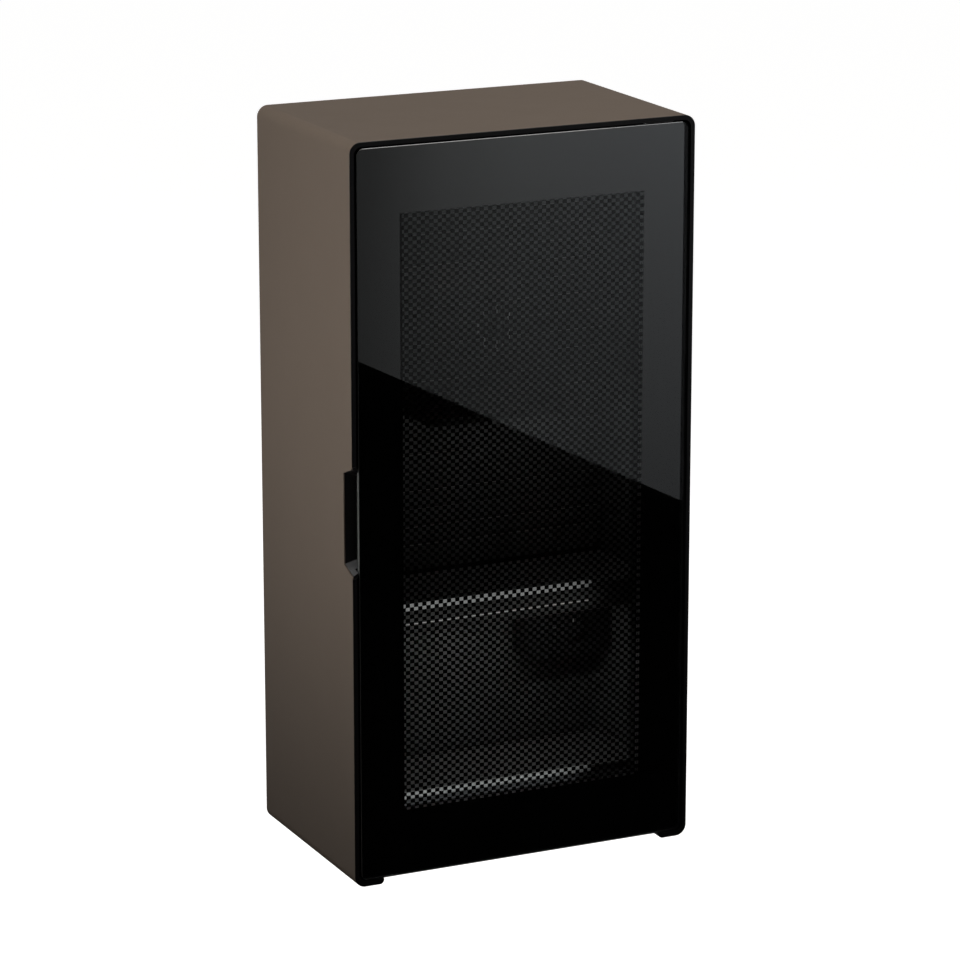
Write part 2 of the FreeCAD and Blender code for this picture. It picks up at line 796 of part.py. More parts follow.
def thermostat_housing():
    """Control box in the lower compartment's rear corner, with the knob's stem."""
    body = thermostat_box(0.0)
    front_face = cavity_rear - thermostat_depth
    corners = [e for e in edges_along(body, V(0, 1, 0))
               if e.CenterOfMass.z < bottom + thermostat_bottom + fit_gap]
    body = body.makeFillet(thermostat_radius, corners)
    body = body.cut(block(cavity_half_width - cavity_back_radius, half, cavity_rear - cavity_back_radius,
                          cavity_rear, bottom, main_top))
    ledge = block(cavity_half_width - ledge_width - fit_gap, half, front, back,
                  main_bottom - ledge_height - fit_gap, main_top)
    body = body.cut(ledge)
    rear_rib = block(-half, half, panel_face - running_gap - main_shelf_wall - fit_gap, cavity_rear,
                     main_bottom - fit_gap, main_top)
    body = body.cut(rear_rib)
    wall = thermostat_wall
    hollow = block(thermostat_left + wall, cavity_half_width - ledge_width - fit_gap - wall, front_face + wall,
                   cavity_rear + overrun, bottom + thermostat_bottom + wall, main_bottom - fit_gap - wall)
    low = [e for e in edges_along(hollow, V(0, 1, 0)) if e.CenterOfMass.z < bottom + thermostat_bottom + 2 * wall]
    body = body.cut(hollow.makeFillet(thermostat_radius - wall, low))
    stem = rod(knob_x, front_face + wall, knob_z, knob_stem_radius, knob_stem_depth + wall,
               V(0, -1, 0))
    return body.fuse(stem).removeSplitter()


def thermostat_knob():
    """Round knob with scalloped grips and a pointer groove, turning on the stem."""
    body = rod(0, 0, 0, knob_radius, knob_depth, V(0, -1, 0))
    nose = edges_where(body, lambda c: c.y < -knob_depth + fit_gap)
    body = body.makeFillet(knob_grip_radius, nose)
    for i in range(knob_grips):
        angle = 2 * math.pi * (i + 1 / 2) / knob_grips
        body = body.cut(rod(knob_radius * math.cos(angle), overrun, knob_radius * math.sin(angle),
                            knob_grip_radius, knob_depth + 2 * overrun, V(0, -1, 0)))
    pointer = block(-knob_grip_radius / 2, knob_grip_radius / 2, -knob_depth - overrun,
                    knob_grip_radius / 2 - knob_depth, knob_radius / 3, knob_radius * 2)
    bore = rod(0, overrun, 0, knob_stem_radius + bore_gap, knob_stem_depth + overrun, V(0, -1, 0))
    body = body.cut(pointer).cut(bore).removeSplitter()
    body.translate(V(knob_x, cavity_rear - thermostat_depth - running_gap, knob_z))
    return body


def fan_frame(size, depth, y, z):
    """Square fan frame with its round duct, struts, hub disc and shaft stub."""
    x0 = module_x - size / 2
    z0 = z - size / 2
    body = rounded(x0, x0 + size, y, y + depth, z0, z0 + size, fan_corner)
    duct = size / 2 - fan_wall
    body = body.cut(rod(module_x, y - overrun, z, duct, depth + 2 * overrun, V(0, 1, 0)))
    hub = size * fan_hub_share
    disc_y = y + depth - fan_strut_depth
    body = body.fuse(rod(module_x, disc_y, z, hub, fan_strut_depth, V(0, 1, 0)))
    for i in range(fan_strut_count):
        strut = block(module_x, module_x + duct + fan_wall / 2, disc_y, disc_y + fan_strut_depth,
                      z - fan_strut / 2, z + fan_strut / 2)
        strut.rotate(V(module_x, disc_y, z), V(0, 1, 0), (i + 1 / 2) * 360 / fan_strut_count)
        body = body.fuse(strut)
    shaft = rod(module_x, disc_y, z, fan_shaft_radius, depth / 2, V(0, -1, 0))
    body = body.fuse(shaft)
    for hole_x, hole_z in fan_corners(size):
        body = body.cut(rod(hole_x, y - overrun, hole_z, fan_hole_radius, depth + 2 * overrun, V(0, 1, 0)))
    return body.removeSplitter()


def blade_section(radius, chord, pitch, y):
    """A blade's curved section at one radius, as a closed wire of two arcs."""
    lean = math.radians(pitch)
    along = V(0, math.sin(lean), math.cos(lean))
    across = V(0, math.cos(lean), -math.sin(lean))
    centre = V(radius, y, 0)
    tail = centre - along * (chord / 2)
    nose = centre + along * (chord / 2)
    bow = chord * fan_blade_camber_share
    back_arc = Part.Arc(tail, centre + across * (bow + fan_blade / 2), nose).toShape()
    front_arc = Part.Arc(nose, centre + across * (bow - fan_blade / 2), tail).toShape()
    return Part.Wire([back_arc, front_arc])


def fan_rotor(size, depth, y, z):
    """Fan rotor: a hub cup on the shaft and twisted, cambered blades lofted out to the duct."""
    hub = size * fan_hub_share
    length = depth - fan_strut_depth - 2 * running_gap
    start = y + running_gap
    body = rod(0, start, 0, hub, length, V(0, 1, 0))
    crown = edges_where(body, lambda c: c.y < start + fit_gap)
    body = body.makeFillet(fan_hub_wall / 2, crown)
    tip = size / 2 - fan_wall - fan_tip_gap
    root = hub - fan_hub_wall
    middle = start + length / 2
    chord = length / math.sin(math.radians(fan_root_pitch)) * (1 - fan_hub_share)
    wide = length / math.sin(math.radians(fan_tip_pitch)) * (1 - fan_hub_share * 2)
    sections = []
    for share in (0, 1 / 2, 1):
        radius = root + (tip - root) * share
        pitch = fan_root_pitch + (fan_tip_pitch - fan_root_pitch) * share
        sections.append(blade_section(radius, chord + (wide - chord) * share, pitch, middle))
    blade = Part.makeLoft(sections, True, False)
    for i in range(fan_blade_count):
        copy = blade.copy()
        copy.rotate(V(0, 0, 0), V(0, 1, 0), i * 360 / fan_blade_count)
        body = body.fuse(copy)
    bore = rod(0, start + fan_hub_wall, 0, fan_shaft_radius + bore_gap, depth, V(0, 1, 0))
    body = body.cut(bore)
    body.translate(V(module_x, 0, z))
    return body.removeSplitter()


def cold_fan_frame():
    """Frame of the small fan behind the grille."""
    return fan_frame(cold_fan_size, cold_fan_depth, panel_face + panel_thickness, module_z)


def cold_fan_rotor():
    """Rotor of the small fan."""
    return fan_rotor(cold_fan_size, cold_fan_depth, panel_face + panel_thickness, module_z)


def finned_sink(width, height, base_y, base, fin_height, fin, count, way):
    """Extruded heat sink: a base plate with a comb of upright fins on one side."""
    x0 = module_x - width / 2
    points = [(x0, base_y), (x0 + width, base_y)]
    pitch = (width - fin) / (count - 1)
    foot = base_y + way * base
    tip = foot + way * fin_height
    for i in reversed(range(count)):
        x = x0 + i * pitch
        points += [(x + fin, foot), (x + fin, tip), (x, tip), (x, foot)]
    points = [p for i, p in enumerate(points) if p != points[i - 1]]
    return prism_z(points, module_z - height / 2, module_z + height / 2).removeSplitter()


def cold_sink():
    """Cold side heat sink, its fins towards the small fan."""
    rear = front + pocket_back
    return finned_sink(cold_sink_size, cold_sink_size, rear, cold_sink_base, cold_fin_height, cold_fin,
                       cold_fin_count, -1)


def cold_block():
    """Aluminium block that carries the cold through the foam."""
    side = block_size / 2
    return block(module_x - side, module_x + side, front + pocket_back, foam_rear,
                 module_z - side, module_z + side)


def peltier_module():
    """Thermoelectric module: two plates with the row of pellets between them."""
    side = peltier_size / 2
    plate = peltier_thickness / 4
    y0 = foam_rear
    body = block(module_x - side, module_x + side, y0, y0 + plate, module_z - side, module_z + side)
    body = body.fuse(block(module_x - side, module_x + side, y0 + peltier_thickness - plate,
                           y0 + peltier_thickness, module_z - side, module_z + side))
    inner = side - plate
    core = block(module_x - inner, module_x + inner, y0 + plate, y0 + peltier_thickness - plate,
                 module_z - inner, module_z + inner)
    return body.fuse(core).removeSplitter()


def hot_sink():
    """Hot side heat sink, its fins towards the large fan."""
    return finned_sink(hot_sink_width, hot_sink_height, foam_rear + peltier_thickness, hot_sink_base,
                       hot_fin_height, hot_fin, hot_fin_count, 1)


def hot_fan_front():
    """Where the large fan's frame starts."""
    return foam_rear + peltier_thickness + hot_sink_base + hot_fin_height


def hot_fan_frame():
    """Frame of the large fan on the hot heat sink."""
    return fan_frame(hot_fan_size, hot_fan_depth, hot_fan_front(), module_z)


def hot_fan_rotor():
    """Rotor of the large fan."""
    return fan_rotor(hot_fan_size, hot_fan_depth, hot_fan_front(), module_z)


def fan_corners(size):
    """The four screw places of a fan, round the module's axis."""
    reach = size / 2 - fan_hole_inset
    return [(module_x + sx * reach, module_z + sz * reach) for sx in (-1, 1) for sz in (-1, 1)]


def fan_screws():
    """Screws of both fans: the small one's from the panel, the large one's from the bay."""
    length = panel_thickness + cold_fan_depth
    parts = [screw(x, panel_face, z, V(0, -1, 0), length) for x, z in fan_corners(cold_fan_size)]
    rear = hot_fan_front() + hot_fan_depth
    length = hot_fan_depth + hot_fin_height / 3
    parts += [screw(x, rear, z, V(0, 1, 0), length) for x, z in fan_corners(hot_fan_size)]
    return Part.makeCompound(parts)


def sink_posts():
    """Four spacers between the foam's back plate and the hot heat sink."""
    x = hot_sink_width / 2 - 2 * post_radius
    z = hot_sink_height / 2 - 2 * post_radius
    length = peltier_thickness - back_plate
    return Part.makeCompound([rod(module_x + sx * x, foam_rear + back_plate, module_z + sz * z, post_radius,
                                  length, V(0, 1, 0)) for sx in (-1, 1) for sz in (-1, 1)])


def power_supply():
    """Closed power supply with a row of cooling slots, on the foam's back plate."""
    x0 = supply_x - supply_width / 2
    y0 = foam_rear + back_plate
    z0 = bottom + supply_bottom
    body = rounded(x0, x0 + supply_width, y0, y0 + supply_depth, z0, z0 + supply_height, supply_radius)
    body = body.cut(block(x0 + supply_wall, x0 + supply_width - supply_wall, y0 - overrun,
                          y0 + supply_depth - supply_wall, z0 + supply_wall, z0 + supply_height - supply_wall))
    rows = int(supply_height / 2 / vent_pitch_z)
    for i in range(rows):
        z = z0 + supply_height / 4 + i * vent_pitch_z
        body = body.cut(block(x0 + vent_pitch_z, x0 + supply_width - vent_pitch_z,
                              y0 + supply_depth - supply_radius, y0 + supply_depth + overrun, z, z + vent_height))
    return body


def board_corners():
    """The four places of the control board's stand-offs."""
    x0 = board_x - board_width / 2 + standoff_inset
    x1 = board_x + board_width / 2 - standoff_inset
    z0 = bottom + board_bottom + standoff_inset
    z1 = bottom + board_bottom + board_height - standoff_inset
    return [(x, z) for x in (x0, x1) for z in (z0, z1)]


def board_standoffs():
    """Four hexagonal stand-offs on the back plate."""
    posts = []
    for x, z in board_corners():
        corners = [V(x + standoff_radius * math.cos(math.pi * i / 3), foam_rear + back_plate,
                     z + standoff_radius * math.sin(math.pi * i / 3)) for i in range(6)]
        wire = Part.makePolygon(corners + corners[:1])
        posts.append(Part.Face(wire).extrude(V(0, standoff_length, 0)))
    return Part.makeCompound(posts)


def control_board():
    """Control board with its larger components."""
    x0 = board_x - board_width / 2
    z0 = bottom + board_bottom
    y0 = foam_rear + back_plate + standoff_length
    y1 = y0 + board_thickness
    body = block(x0, x0 + board_width, y0, y1, z0, z0 + board_height)
    relay = block(x0 + chip_size, x0 + 2 * chip_size, y1, y1 + chip_height, z0 + chip_size, z0 + 2 * chip_size)
    chip = block(x0 + 3 * chip_size, x0 + 4 * chip_size, y1, y1 + chip_height / 3, z0 + chip_size,
                 z0 + 2 * chip_size)
    capacitor = rod(x0 + chip_size / 2, y1, z0 + board_height - chip_size / 2, chip_size / 4, chip_height * 2,
                    V(0, 1, 0))
    socket = block(x0 + board_width - 2 * chip_size, x0 + board_width - chip_size, y1, y1 + chip_height,
                   z0 + board_height - chip_size / 2, z0 + board_height - chip_size / 6)
    return body.fuse([relay, chip, capacitor, socket]).removeSplitter()


def rear_screw_places():
    """Places of the rear panel's screws, along its long edges."""
    x = half - casing_return / 2 - rear_edge_gap / 2
    rows = 4
    step = (casing_height - 4 * casing_return) / (rows - 1)
    return [(side * x, bottom + 2 * casing_return + i * step) for side in (-1, 1) for i in range(rows)]


def rear_panel():
    """Sheet over the machine bay, with vents, a fan grille and the cable gland's hole."""
    margin = casing_sheet + rear_edge_gap
    y0 = back - rear_sheet
    body = rounded(-half + margin, half - margin, y0, back, bottom + margin, top - margin,
                   casing_radius - casing_sheet)
    cuts = []
    for base in (top - upper_vent_inset, bottom + lower_vent_height):
        for row in range(vent_rows):
            for column in range(vent_columns):
                x = (column - (vent_columns - 1) / 2) * vent_pitch_x
                z = base + (row - (vent_rows - 1) / 2) * vent_pitch_z
                cuts.append(block(x - vent_width / 2, x + vent_width / 2, y0 - overrun, back + overrun,
                                  z - vent_height / 2, z + vent_height / 2))
    cuts += grille_slots(module_x, module_z, rear_grille_radius, rear_grille_slot, rear_grille_pitch,
                         y0 - overrun, back + overrun)
    cuts.append(rod(gland_x, y0 - overrun, bottom + gland_height, gland_radius + gland_wall / 2 + fit_gap,
                    rear_sheet + 2 * overrun, V(0, 1, 0)))
    for x, z in rear_screw_places():
        cuts.append(screw_hole(x, back, z, V(0, 1, 0), screw_length))
    for x, z in rail_screw_places():
        cuts.append(screw_hole(x, back, z, V(0, 1, 0), screw_length))
    return body.cut(Part.makeCompound(cuts))


def rear_panel_screws():
    """The rear panel's screws."""
    return Part.makeCompound([screw(x, back, z, V(0, 1, 0)) for x, z in rear_screw_places()])


def cable_grommet():
    """Rubber gland in the rear panel for the supply cable."""
    z = bottom + gland_height
    y0 = back - rear_sheet
    outer = gland_radius + gland_wall / 2
    points = [(gland_radius, -gland_depth), (outer + gland_flange, -gland_depth), (outer + gland_flange, 0.0),
              (outer, 0.0), (outer, rear_sheet), (outer + gland_flange, rear_sheet),
              (outer + gland_flange, rear_sheet + gland_depth / 2), (outer + gland_depth / 2,
                                                                     rear_sheet + gland_depth),
              (gland_radius, rear_sheet + gland_depth)]
    corners = [V(gland_x + r, y0 + y, z) for r, y in points]
    profile = Part.Face(Part.makePolygon(corners + corners[:1]))
    return profile.revolve(V(gland_x, y0, z), V(0, 1, 0), 360)


def switch_opening(gap):
    """Hole for the mains switch in the casing's underside."""
    y = switch_y
    return block(switch_x - switch_length / 2 - gap, switch_x + switch_length / 2 + gap,
                 y - switch_width / 2 - gap, y + switch_width / 2 + gap, bottom - overrun,
                 bottom + casing_sheet + overrun)


def switch_frame():
    """Switch body with its flange under the casing, open for the rocker."""
    y = switch_y
    body = block(switch_x - switch_length / 2, switch_x + switch_length / 2, y - switch_width / 2,
                 y + switch_width / 2, bottom, bottom + switch_body)
    flange = rounded(switch_x - switch_length / 2 - switch_flange_width,
                     switch_x + switch_length / 2 + switch_flange_width,
                     y - switch_width / 2 - switch_flange_width, y + switch_width / 2 + switch_flange_width,
                     bottom - switch_flange, bottom, switch_flange_width, V(0, 0, 1))
    well_x = switch_length / 2 - switch_flange
    well_y = switch_width / 2 - switch_flange
    well = block(switch_x - well_x, switch_x + well_x, y - well_y, y + well_y, bottom - switch_flange - overrun,
                 bottom + rocker_height + switch_flange)
    pin = rod(switch_x, y - switch_width / 2, bottom + rocker_height / 2, rocker_pin_radius, switch_width,
              V(0, 1, 0))
    return body.fuse(flange).cut(well).fuse(pin).removeSplitter()


def switch_rocker():
    """Rocker with two angled faces, turning on the switch's cross pin."""
    y = switch_y
    reach = switch_length / 2 - switch_flange - rocker_gap
    wide = switch_width / 2 - switch_flange - rocker_gap
    lean = reach * math.tan(math.radians(rocker_tilt))
    low = -rocker_height / 2 - switch_flange
    points = [(-reach, low + lean), (0.0, low), (reach, low + lean), (reach / 2, rocker_height / 3),
              (-reach / 2, rocker_height / 3)]
    pivot = V(switch_x, y, bottom + rocker_height / 2)
    corners = [V(x, -wide, z) for x, z in points]
    body = Part.Face(Part.makePolygon(corners + corners[:1])).extrude(V(0, 2 * wide, 0))
    body = body.cut(rod(0, -wide - overrun, 0, rocker_pin_radius + bore_gap, 2 * wide + 2 * overrun, V(0, 1, 0)))
    body.rotate(V(0, 0, 0), V(0, 1, 0), rocker_tilt)
    body.translate(pivot)
    return body


def outer_glass():
    """Flush door glass with a fine arris on its front and rear edges."""
    body = rounded(-glass_side, glass_side, face, glass_back, glass_bottom, glass_top, glass_radius)
    rims = edges_where(body, lambda c: c.y < face + fit_gap or c.y > glass_back - fit_gap)
    return body.makeChamfer(glass_arris, rims)


def printed_border():
    """Black printed layer behind the glass, open at the window."""
    margin = glass_arris + fit_gap
    outer = rounded(-glass_side + margin, glass_side - margin, glass_back, print_back, glass_bottom + margin,
                    glass_top - margin, glass_radius - margin)
    return outer.cut(block(-window_half_width, window_half_width, glass_back - overrun, print_back + overrun,
                           window_bottom, window_top))


def window_ring(grow, width, y0, y1):
    """A square-cornered frame round the window."""
    outer = block(-window_half_width - grow - width, window_half_width + grow + width, y0, y1,
                  window_bottom - grow - width, window_top + grow + width)
    inner = block(-window_half_width - grow, window_half_width + grow, y0 - overrun, y1 + overrun,
                  window_bottom - grow, window_top + grow)
    return outer.cut(inner)


def glazing_spacer():
    """Bright spacer bar between the two panes."""
    return window_ring(0.0, spacer_width, print_back, print_back + spacer_depth)


def inner_pane():
    """Second pane of the double glazing."""
    y0 = print_back + spacer_depth
    return block(-window_half_width - pane_overlap, window_half_width + pane_overlap, y0, y0 + pane_thickness,
                 window_bottom - pane_overlap, window_top + pane_overlap)


def door_frame():
    """Moulded frame behind the glass that clamps the inner pane and carries the gasket."""
    outer = rounded(-frame_side, frame_side, print_back, frame_rear, frame_bottom, frame_top, frame_radius)
    rebate_rear = print_back + spacer_depth + pane_thickness + frame_lip
    rebate = pane_overlap + fit_gap
    rear_edges = edges_where(outer, lambda c: c.y > frame_rear - fit_gap)
    outer = outer.makeFillet(frame_radius / 3, rear_edges)
    body = outer.cut(block(-window_half_width - rebate, window_half_width + rebate, print_back - overrun,
                           rebate_rear, window_bottom - rebate, window_top + rebate))
    body = body.cut(block(-window_half_width, window_half_width, print_back - overrun, frame_rear + overrun,
                          window_bottom, window_top))
    for level, way in hinge_levels():
        body = body.cut(block_screw_hole(level, way))
    return body.removeSplitter()


def gasket_ring(margin, width, y0, y1):
    """One step of the gasket's section, as a ring inside the frame's outline."""
    outer = rounded(-frame_side + margin, frame_side - margin, y0, y1, frame_bottom + margin,
                    frame_top - margin, gasket_radius)
    edge = margin + width
    inner = rounded(-frame_side + edge, frame_side - edge, y0 - overrun, y1 + overrun, frame_bottom + edge,
                    frame_top - edge, gasket_radius / 2)
    return outer.cut(inner)


def gasket():
    """Soft door seal: base, narrow bellows neck and hollow head for the magnets."""
    margin = frame_radius / 3
    head_rear = seal - running_gap
    head_front = head_rear - gasket_head
    neck_margin = margin + (gasket_width - gasket_neck) / 2
    body = gasket_ring(margin, gasket_width, frame_rear, frame_rear + gasket_base / 2)
    body = body.fuse(gasket_ring(neck_margin, gasket_neck, frame_rear, head_front))
    body = body.fuse(gasket_ring(margin, gasket_width, head_front, head_rear))
    return body.cut(magnet_rings(fit_gap)).removeSplitter()


def magnet_rings(gap):
    """The ring of magnetic strip in the gasket's head."""
    head_middle = seal - running_gap - gasket_head / 2
    margin = frame_radius / 3 + (gasket_width - magnet_width) / 2
    return gasket_ring(margin - gap, magnet_width + 2 * gap, head_middle - magnet_thickness / 2 - gap,
                       head_middle + magnet_thickness / 2 + gap)


def gasket_magnets():
    """Magnetic strips in the gasket."""
    return magnet_rings(0.0)


def hinge_levels():
    """The inner faces of the two hinge plates, with the way from the door to the casing."""
    return [(top - inset - rim_wall - hinge_plate, 1), (bottom + inset + rim_wall + hinge_plate, -1)]


def hinge_screw_places():
    """Two screws per hinge plate, behind the glass's sweep."""
    y = front + hinge_plate_front + hinge_plate_back + hinge_plate_front / 2
    return [(pivot_x, y), (pivot_x + hinge_plate_right / 2, y)]


def hinge_plate_part(level, way):
    """Steel plate inside the front frame that holds a hinge pin."""
    z0, z1 = sorted((level, level + way * hinge_plate))
    y0 = face + hinge_plate_front
    y1 = seal - running_gap
    body = rounded(pivot_x - hinge_plate_left, pivot_x + hinge_plate_right, y0, y1, z0, z1,
                   hinge_plate_radius, V(0, 0, 1))
    body = body.cut(rod(pivot_x, pivot_y, z0 - overrun, pin_radius, hinge_plate + 2 * overrun, V(0, 0, 1)))
    for x, y in hinge_screw_places():
        body = body.cut(flush_screw(x, y, level, V(0, 0, -way), hinge_plate + rim_wall, fit_gap))
    return body


def hinge_plate_top():
    """Upper hinge plate."""
    return hinge_plate_part(*hinge_levels()[0])


def hinge_plate_bottom():
    """Lower hinge plate."""
    return hinge_plate_part(*hinge_levels()[1])


def hinge_pin(level, way):
    """Pin pressed into a hinge plate, with a rounded end in the door's block."""
    start = level + way * hinge_plate
    body = rod(pivot_x, pivot_y, start, pin_radius, pin_length, V(0, 0, -way))
    end = start - way * pin_length
    return body.makeChamfer(pin_radius / 4, edges_where(body, lambda c: abs(c.z - end) < fit_gap))


def hinge_pin_top():
    """Upper hinge pin."""
    return hinge_pin(*hinge_levels()[0])


def hinge_pin_bottom():
    """Lower hinge pin."""
    return hinge_pin(*hinge_levels()[1])


def thrust_washer():
    """Slip washer on the lower pin that carries the door."""
    level = hinge_levels()[1][0]
    outer = rod(pivot_x, pivot_y, level, washer_radius, block_gap - running_gap, V(0, 0, 1))
    return outer.cut(rod(pivot_x, pivot_y, level - overrun, pin_radius + bore_gap, 2 * overrun, V(0, 0, 1)))


def hinge_block_part(level, way, frame_edge):
    """Steel block bonded to the glass and seated on the door frame, bored for the pin."""
    z_end = level - way * block_gap
    z0, z1 = sorted((z_end, frame_edge))
    body = rounded(pivot_x - block_reach, pivot_x + block_nose, print_back, print_back + block_depth, z0, z1,
                   block_depth / 4, V(0, 0, 1))
    bore_depth = pin_length - hinge_plate - block_gap + running_gap
    body = body.cut(rod(pivot_x, pivot_y, z_end + way * overrun, pin_radius + bore_gap, bore_depth + overrun,
                        V(0, 0, -way)))
    return body.cut(block_screw_hole(level, way))


def hinge_block_top():
    """Upper hinge block of the door."""
    return hinge_block_part(*hinge_levels()[0], frame_top)


def hinge_block_bottom():
    """Lower hinge block of the door."""
    return hinge_block_part(*hinge_levels()[1], frame_bottom)


def hinge_plate_screws():
    """Screws that hold the hinge plates to the front frame and the casing."""
    parts = []
    for level, way in hinge_levels():
        for x, y in hinge_screw_places():
            parts.append(flush_screw(x, y, level, V(0, 0, -way), hinge_plate + rim_wall))
    return Part.makeCompound(parts)


def block_screw_reach():
    """How far a hinge block's screw runs from the block's end into the door frame."""
    return frame_end_inset + block_height / 2


def block_screws():
    """Screws through the hinge blocks into the door frame."""
    parts = []
    for level, way in hinge_levels():
        parts.append(flush_screw(pivot_x - block_reach * 2 / 3, print_back + block_depth / 2,
                                 level - way * block_gap, V(0, 0, way), block_screw_reach()))
    return Part.makeCompound(parts)


def block_screw_hole(level, way):
    """The hole of a hinge block's screw."""
    return flush_screw(pivot_x - block_reach * 2 / 3, print_back + block_depth / 2, level - way * block_gap,
                       V(0, 0, way), block_screw_reach(), fit_gap)


def strike_ring(gap):
    """The steel ring's room in the rear of the front frame's flange, right behind the gasket."""
    margin = frame_radius / 3
    rear = seal + seal_flange
    return gasket_ring(margin + strike_margin - gap, gasket_width - 2 * strike_margin + 2 * gap,
                       rear - back_plate - gap / 2, rear + gap)


def strike_frame():
    """Steel ring let into the front frame's flange, on which the door's magnets pull."""
    return strike_ring(0.0)


def door_sensor():
    """Reed switch behind the front frame's flange, worked by the gasket's magnets."""
    y0 = seal + seal_flange
    x1 = -mouth_half_width - fit_gap
    return rounded(x1 - gasket_width, x1, y0, y0 + gasket_head, mouth_top - 3 * gasket_width, mouth_top
                   - gasket_width, gasket_head / 4)


def wall_plate():
    """Steel plate bolted to the wall, folded at its top into a forward tongue."""
    z1 = plate_height / 2
    tongue_face = -tongue_gap - plate_sheet
    points = [(0.0, -z1), (0.0, z1 + plate_sheet), (-tongue_gap, z1 + plate_sheet),
              (-tongue_gap, z1 + plate_sheet + tongue_height), (tongue_face, z1 + plate_sheet + tongue_height),
              (tongue_face, z1), (-plate_sheet, z1), (-plate_sheet, -z1)]
    body = prism_x(points, -plate_width / 2, plate_width / 2)
    bends = [e for e in edges_along(body, V(1, 0, 0))
             if abs(e.CenterOfMass.z - z1) < plate_sheet * 2 and e.CenterOfMass.y < -fit_gap]
    body = body.makeFillet(plate_sheet / 2, bends)
    low = [e for e in edges_along(body, V(0, 1, 0)) if e.CenterOfMass.z < -z1 + fit_gap]
    body = body.makeFillet(plate_radius, low)
    for x in (-bolt_spacing_x / 2, bolt_spacing_x / 2):
        for z in (-bolt_spacing_z / 2, bolt_spacing_z / 2):
            body = body.cut(rod(x, -plate_sheet - overrun, z, bolt_hole_radius, plate_sheet + 2 * overrun,
                                V(0, 1, 0)))
    return body


def hang_rail():
    """Rail on the rear panel whose tongue drops behind the wall plate's tongue."""
    seat = plate_height / 2 + plate_sheet + tongue_height
    tongue_wall = -tongue_gap + rail_tongue_gap
    tongue_room = tongue_wall + rail_sheet
    points = [(back, seat), (tongue_wall, seat), (tongue_wall, seat - rail_tongue),
              (tongue_room, seat - rail_tongue), (tongue_room, seat + rail_sheet),
              (back + rail_sheet, seat + rail_sheet), (back + rail_sheet, seat + rail_flange), (back, seat + rail_flange)]
    body = prism_x(points, -rail_width / 2, rail_width / 2)
    bends = [e for e in edges_along(body, V(1, 0, 0))
             if abs(e.CenterOfMass.z - seat) < rail_sheet * 2 and e.CenterOfMass.y > back + fit_gap]
    body = body.makeFillet(rail_sheet / 3, bends)
    for x, z in rail_screw_places():
        body = body.cut(screw_hole(x, back + rail_sheet, z, V(0, 1, 0), screw_length))
    return body


def rail_screw_places():
    """Places of the hanging rail's screws."""
    seat = plate_height / 2 + plate_sheet + tongue_height
    z = seat + (rail_flange + rail_sheet) / 2
    pitch = rail_width / rail_screw_count
    return [((i - (rail_screw_count - 1) / 2) * pitch, z) for i in range(rail_screw_count)]


def rail_screws():
    """The hanging rail's screws."""
    return Part.makeCompound([screw(x, back + rail_sheet, z, V(0, 1, 0)) for x, z in rail_screw_places()])


def wall_bumpers():
    """Rubber discs low on the rear that keep the cabinet parallel to the wall."""
    parts = []
    for side in (-1, 1):
        puck = rod(side * bumper_x, back, bottom + bumper_height, bumper_radius, wall_gap, V(0, 1, 0))
        puck = puck.makeFillet(bumper_edge, edges_where(puck, lambda c: c.y > -fit_gap))
        parts.append(puck)
    return Part.makeCompound(parts)


BUILDERS = (
    casing, bezel, grip_scoop, liner, foam_insulation, foam_back_plate, slotted_back_panel, upper_shelf,
    middle_shelf, main_shelf, main_shelf_trim, floor_tray, thermostat_housing, thermostat_knob,
    cold_fan_frame, cold_fan_rotor, cold_sink, cold_block, peltier_module, hot_sink, hot_fan_frame,
    hot_fan_rotor, power_supply, board_standoffs, control_board, rear_panel, rear_panel_screws,
    cable_grommet, switch_frame, switch_rocker, outer_glass, printed_border, glazing_spacer, inner_pane,
    door_frame, gasket, gasket_magnets, hinge_plate_top, hinge_plate_bottom, hinge_pin_top,
    hinge_pin_bottom, thrust_washer, hinge_block_top, hinge_block_bottom, hinge_plate_screws, block_screws,
    fan_screws, sink_posts, strike_frame,
    door_sensor, wall_plate, hang_rail, rail_screws, wall_bumpers)


def main_light_bar():
    """Light bar in the main shelf's front edge."""
    return light_bar(main_top, panel_side_gap)


def floor_light_bar():
    """Light bar in the floor tray's front edge."""
    return light_bar(bottom + floor_top, cavity_radius / 2)


def main_led_strip():
    """Lamps behind the main light bar."""
    return led_strip(main_top, panel_side_gap)


def floor_led_strip():
    """Lamps behind the floor light bar."""
    return led_strip(bottom + floor_top, cavity_radius / 2)


def build():
    """Makes every piece and writes one file for each."""
    os.makedirs("parts", exist_ok=True)
    for builder in BUILDERS + (main_light_bar, floor_light_bar, main_led_strip, floor_led_strip):
        shape = builder()
        name = builder.__name__
        print(name, "solids", len(shape.Solids), "valid", shape.isValid(), "volume", round(shape.Volume))
        shape.exportStep("parts/" + name + ".step")


build()
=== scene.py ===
"""Dresses the wall-hung minibar: finishes, printed window, shelf ribs, studio and camera."""

import logging
import math
from dataclasses import dataclass, field, replace
from enum import Enum
from typing import Any

import bmesh
import bpy
from mathutils import Matrix, Vector


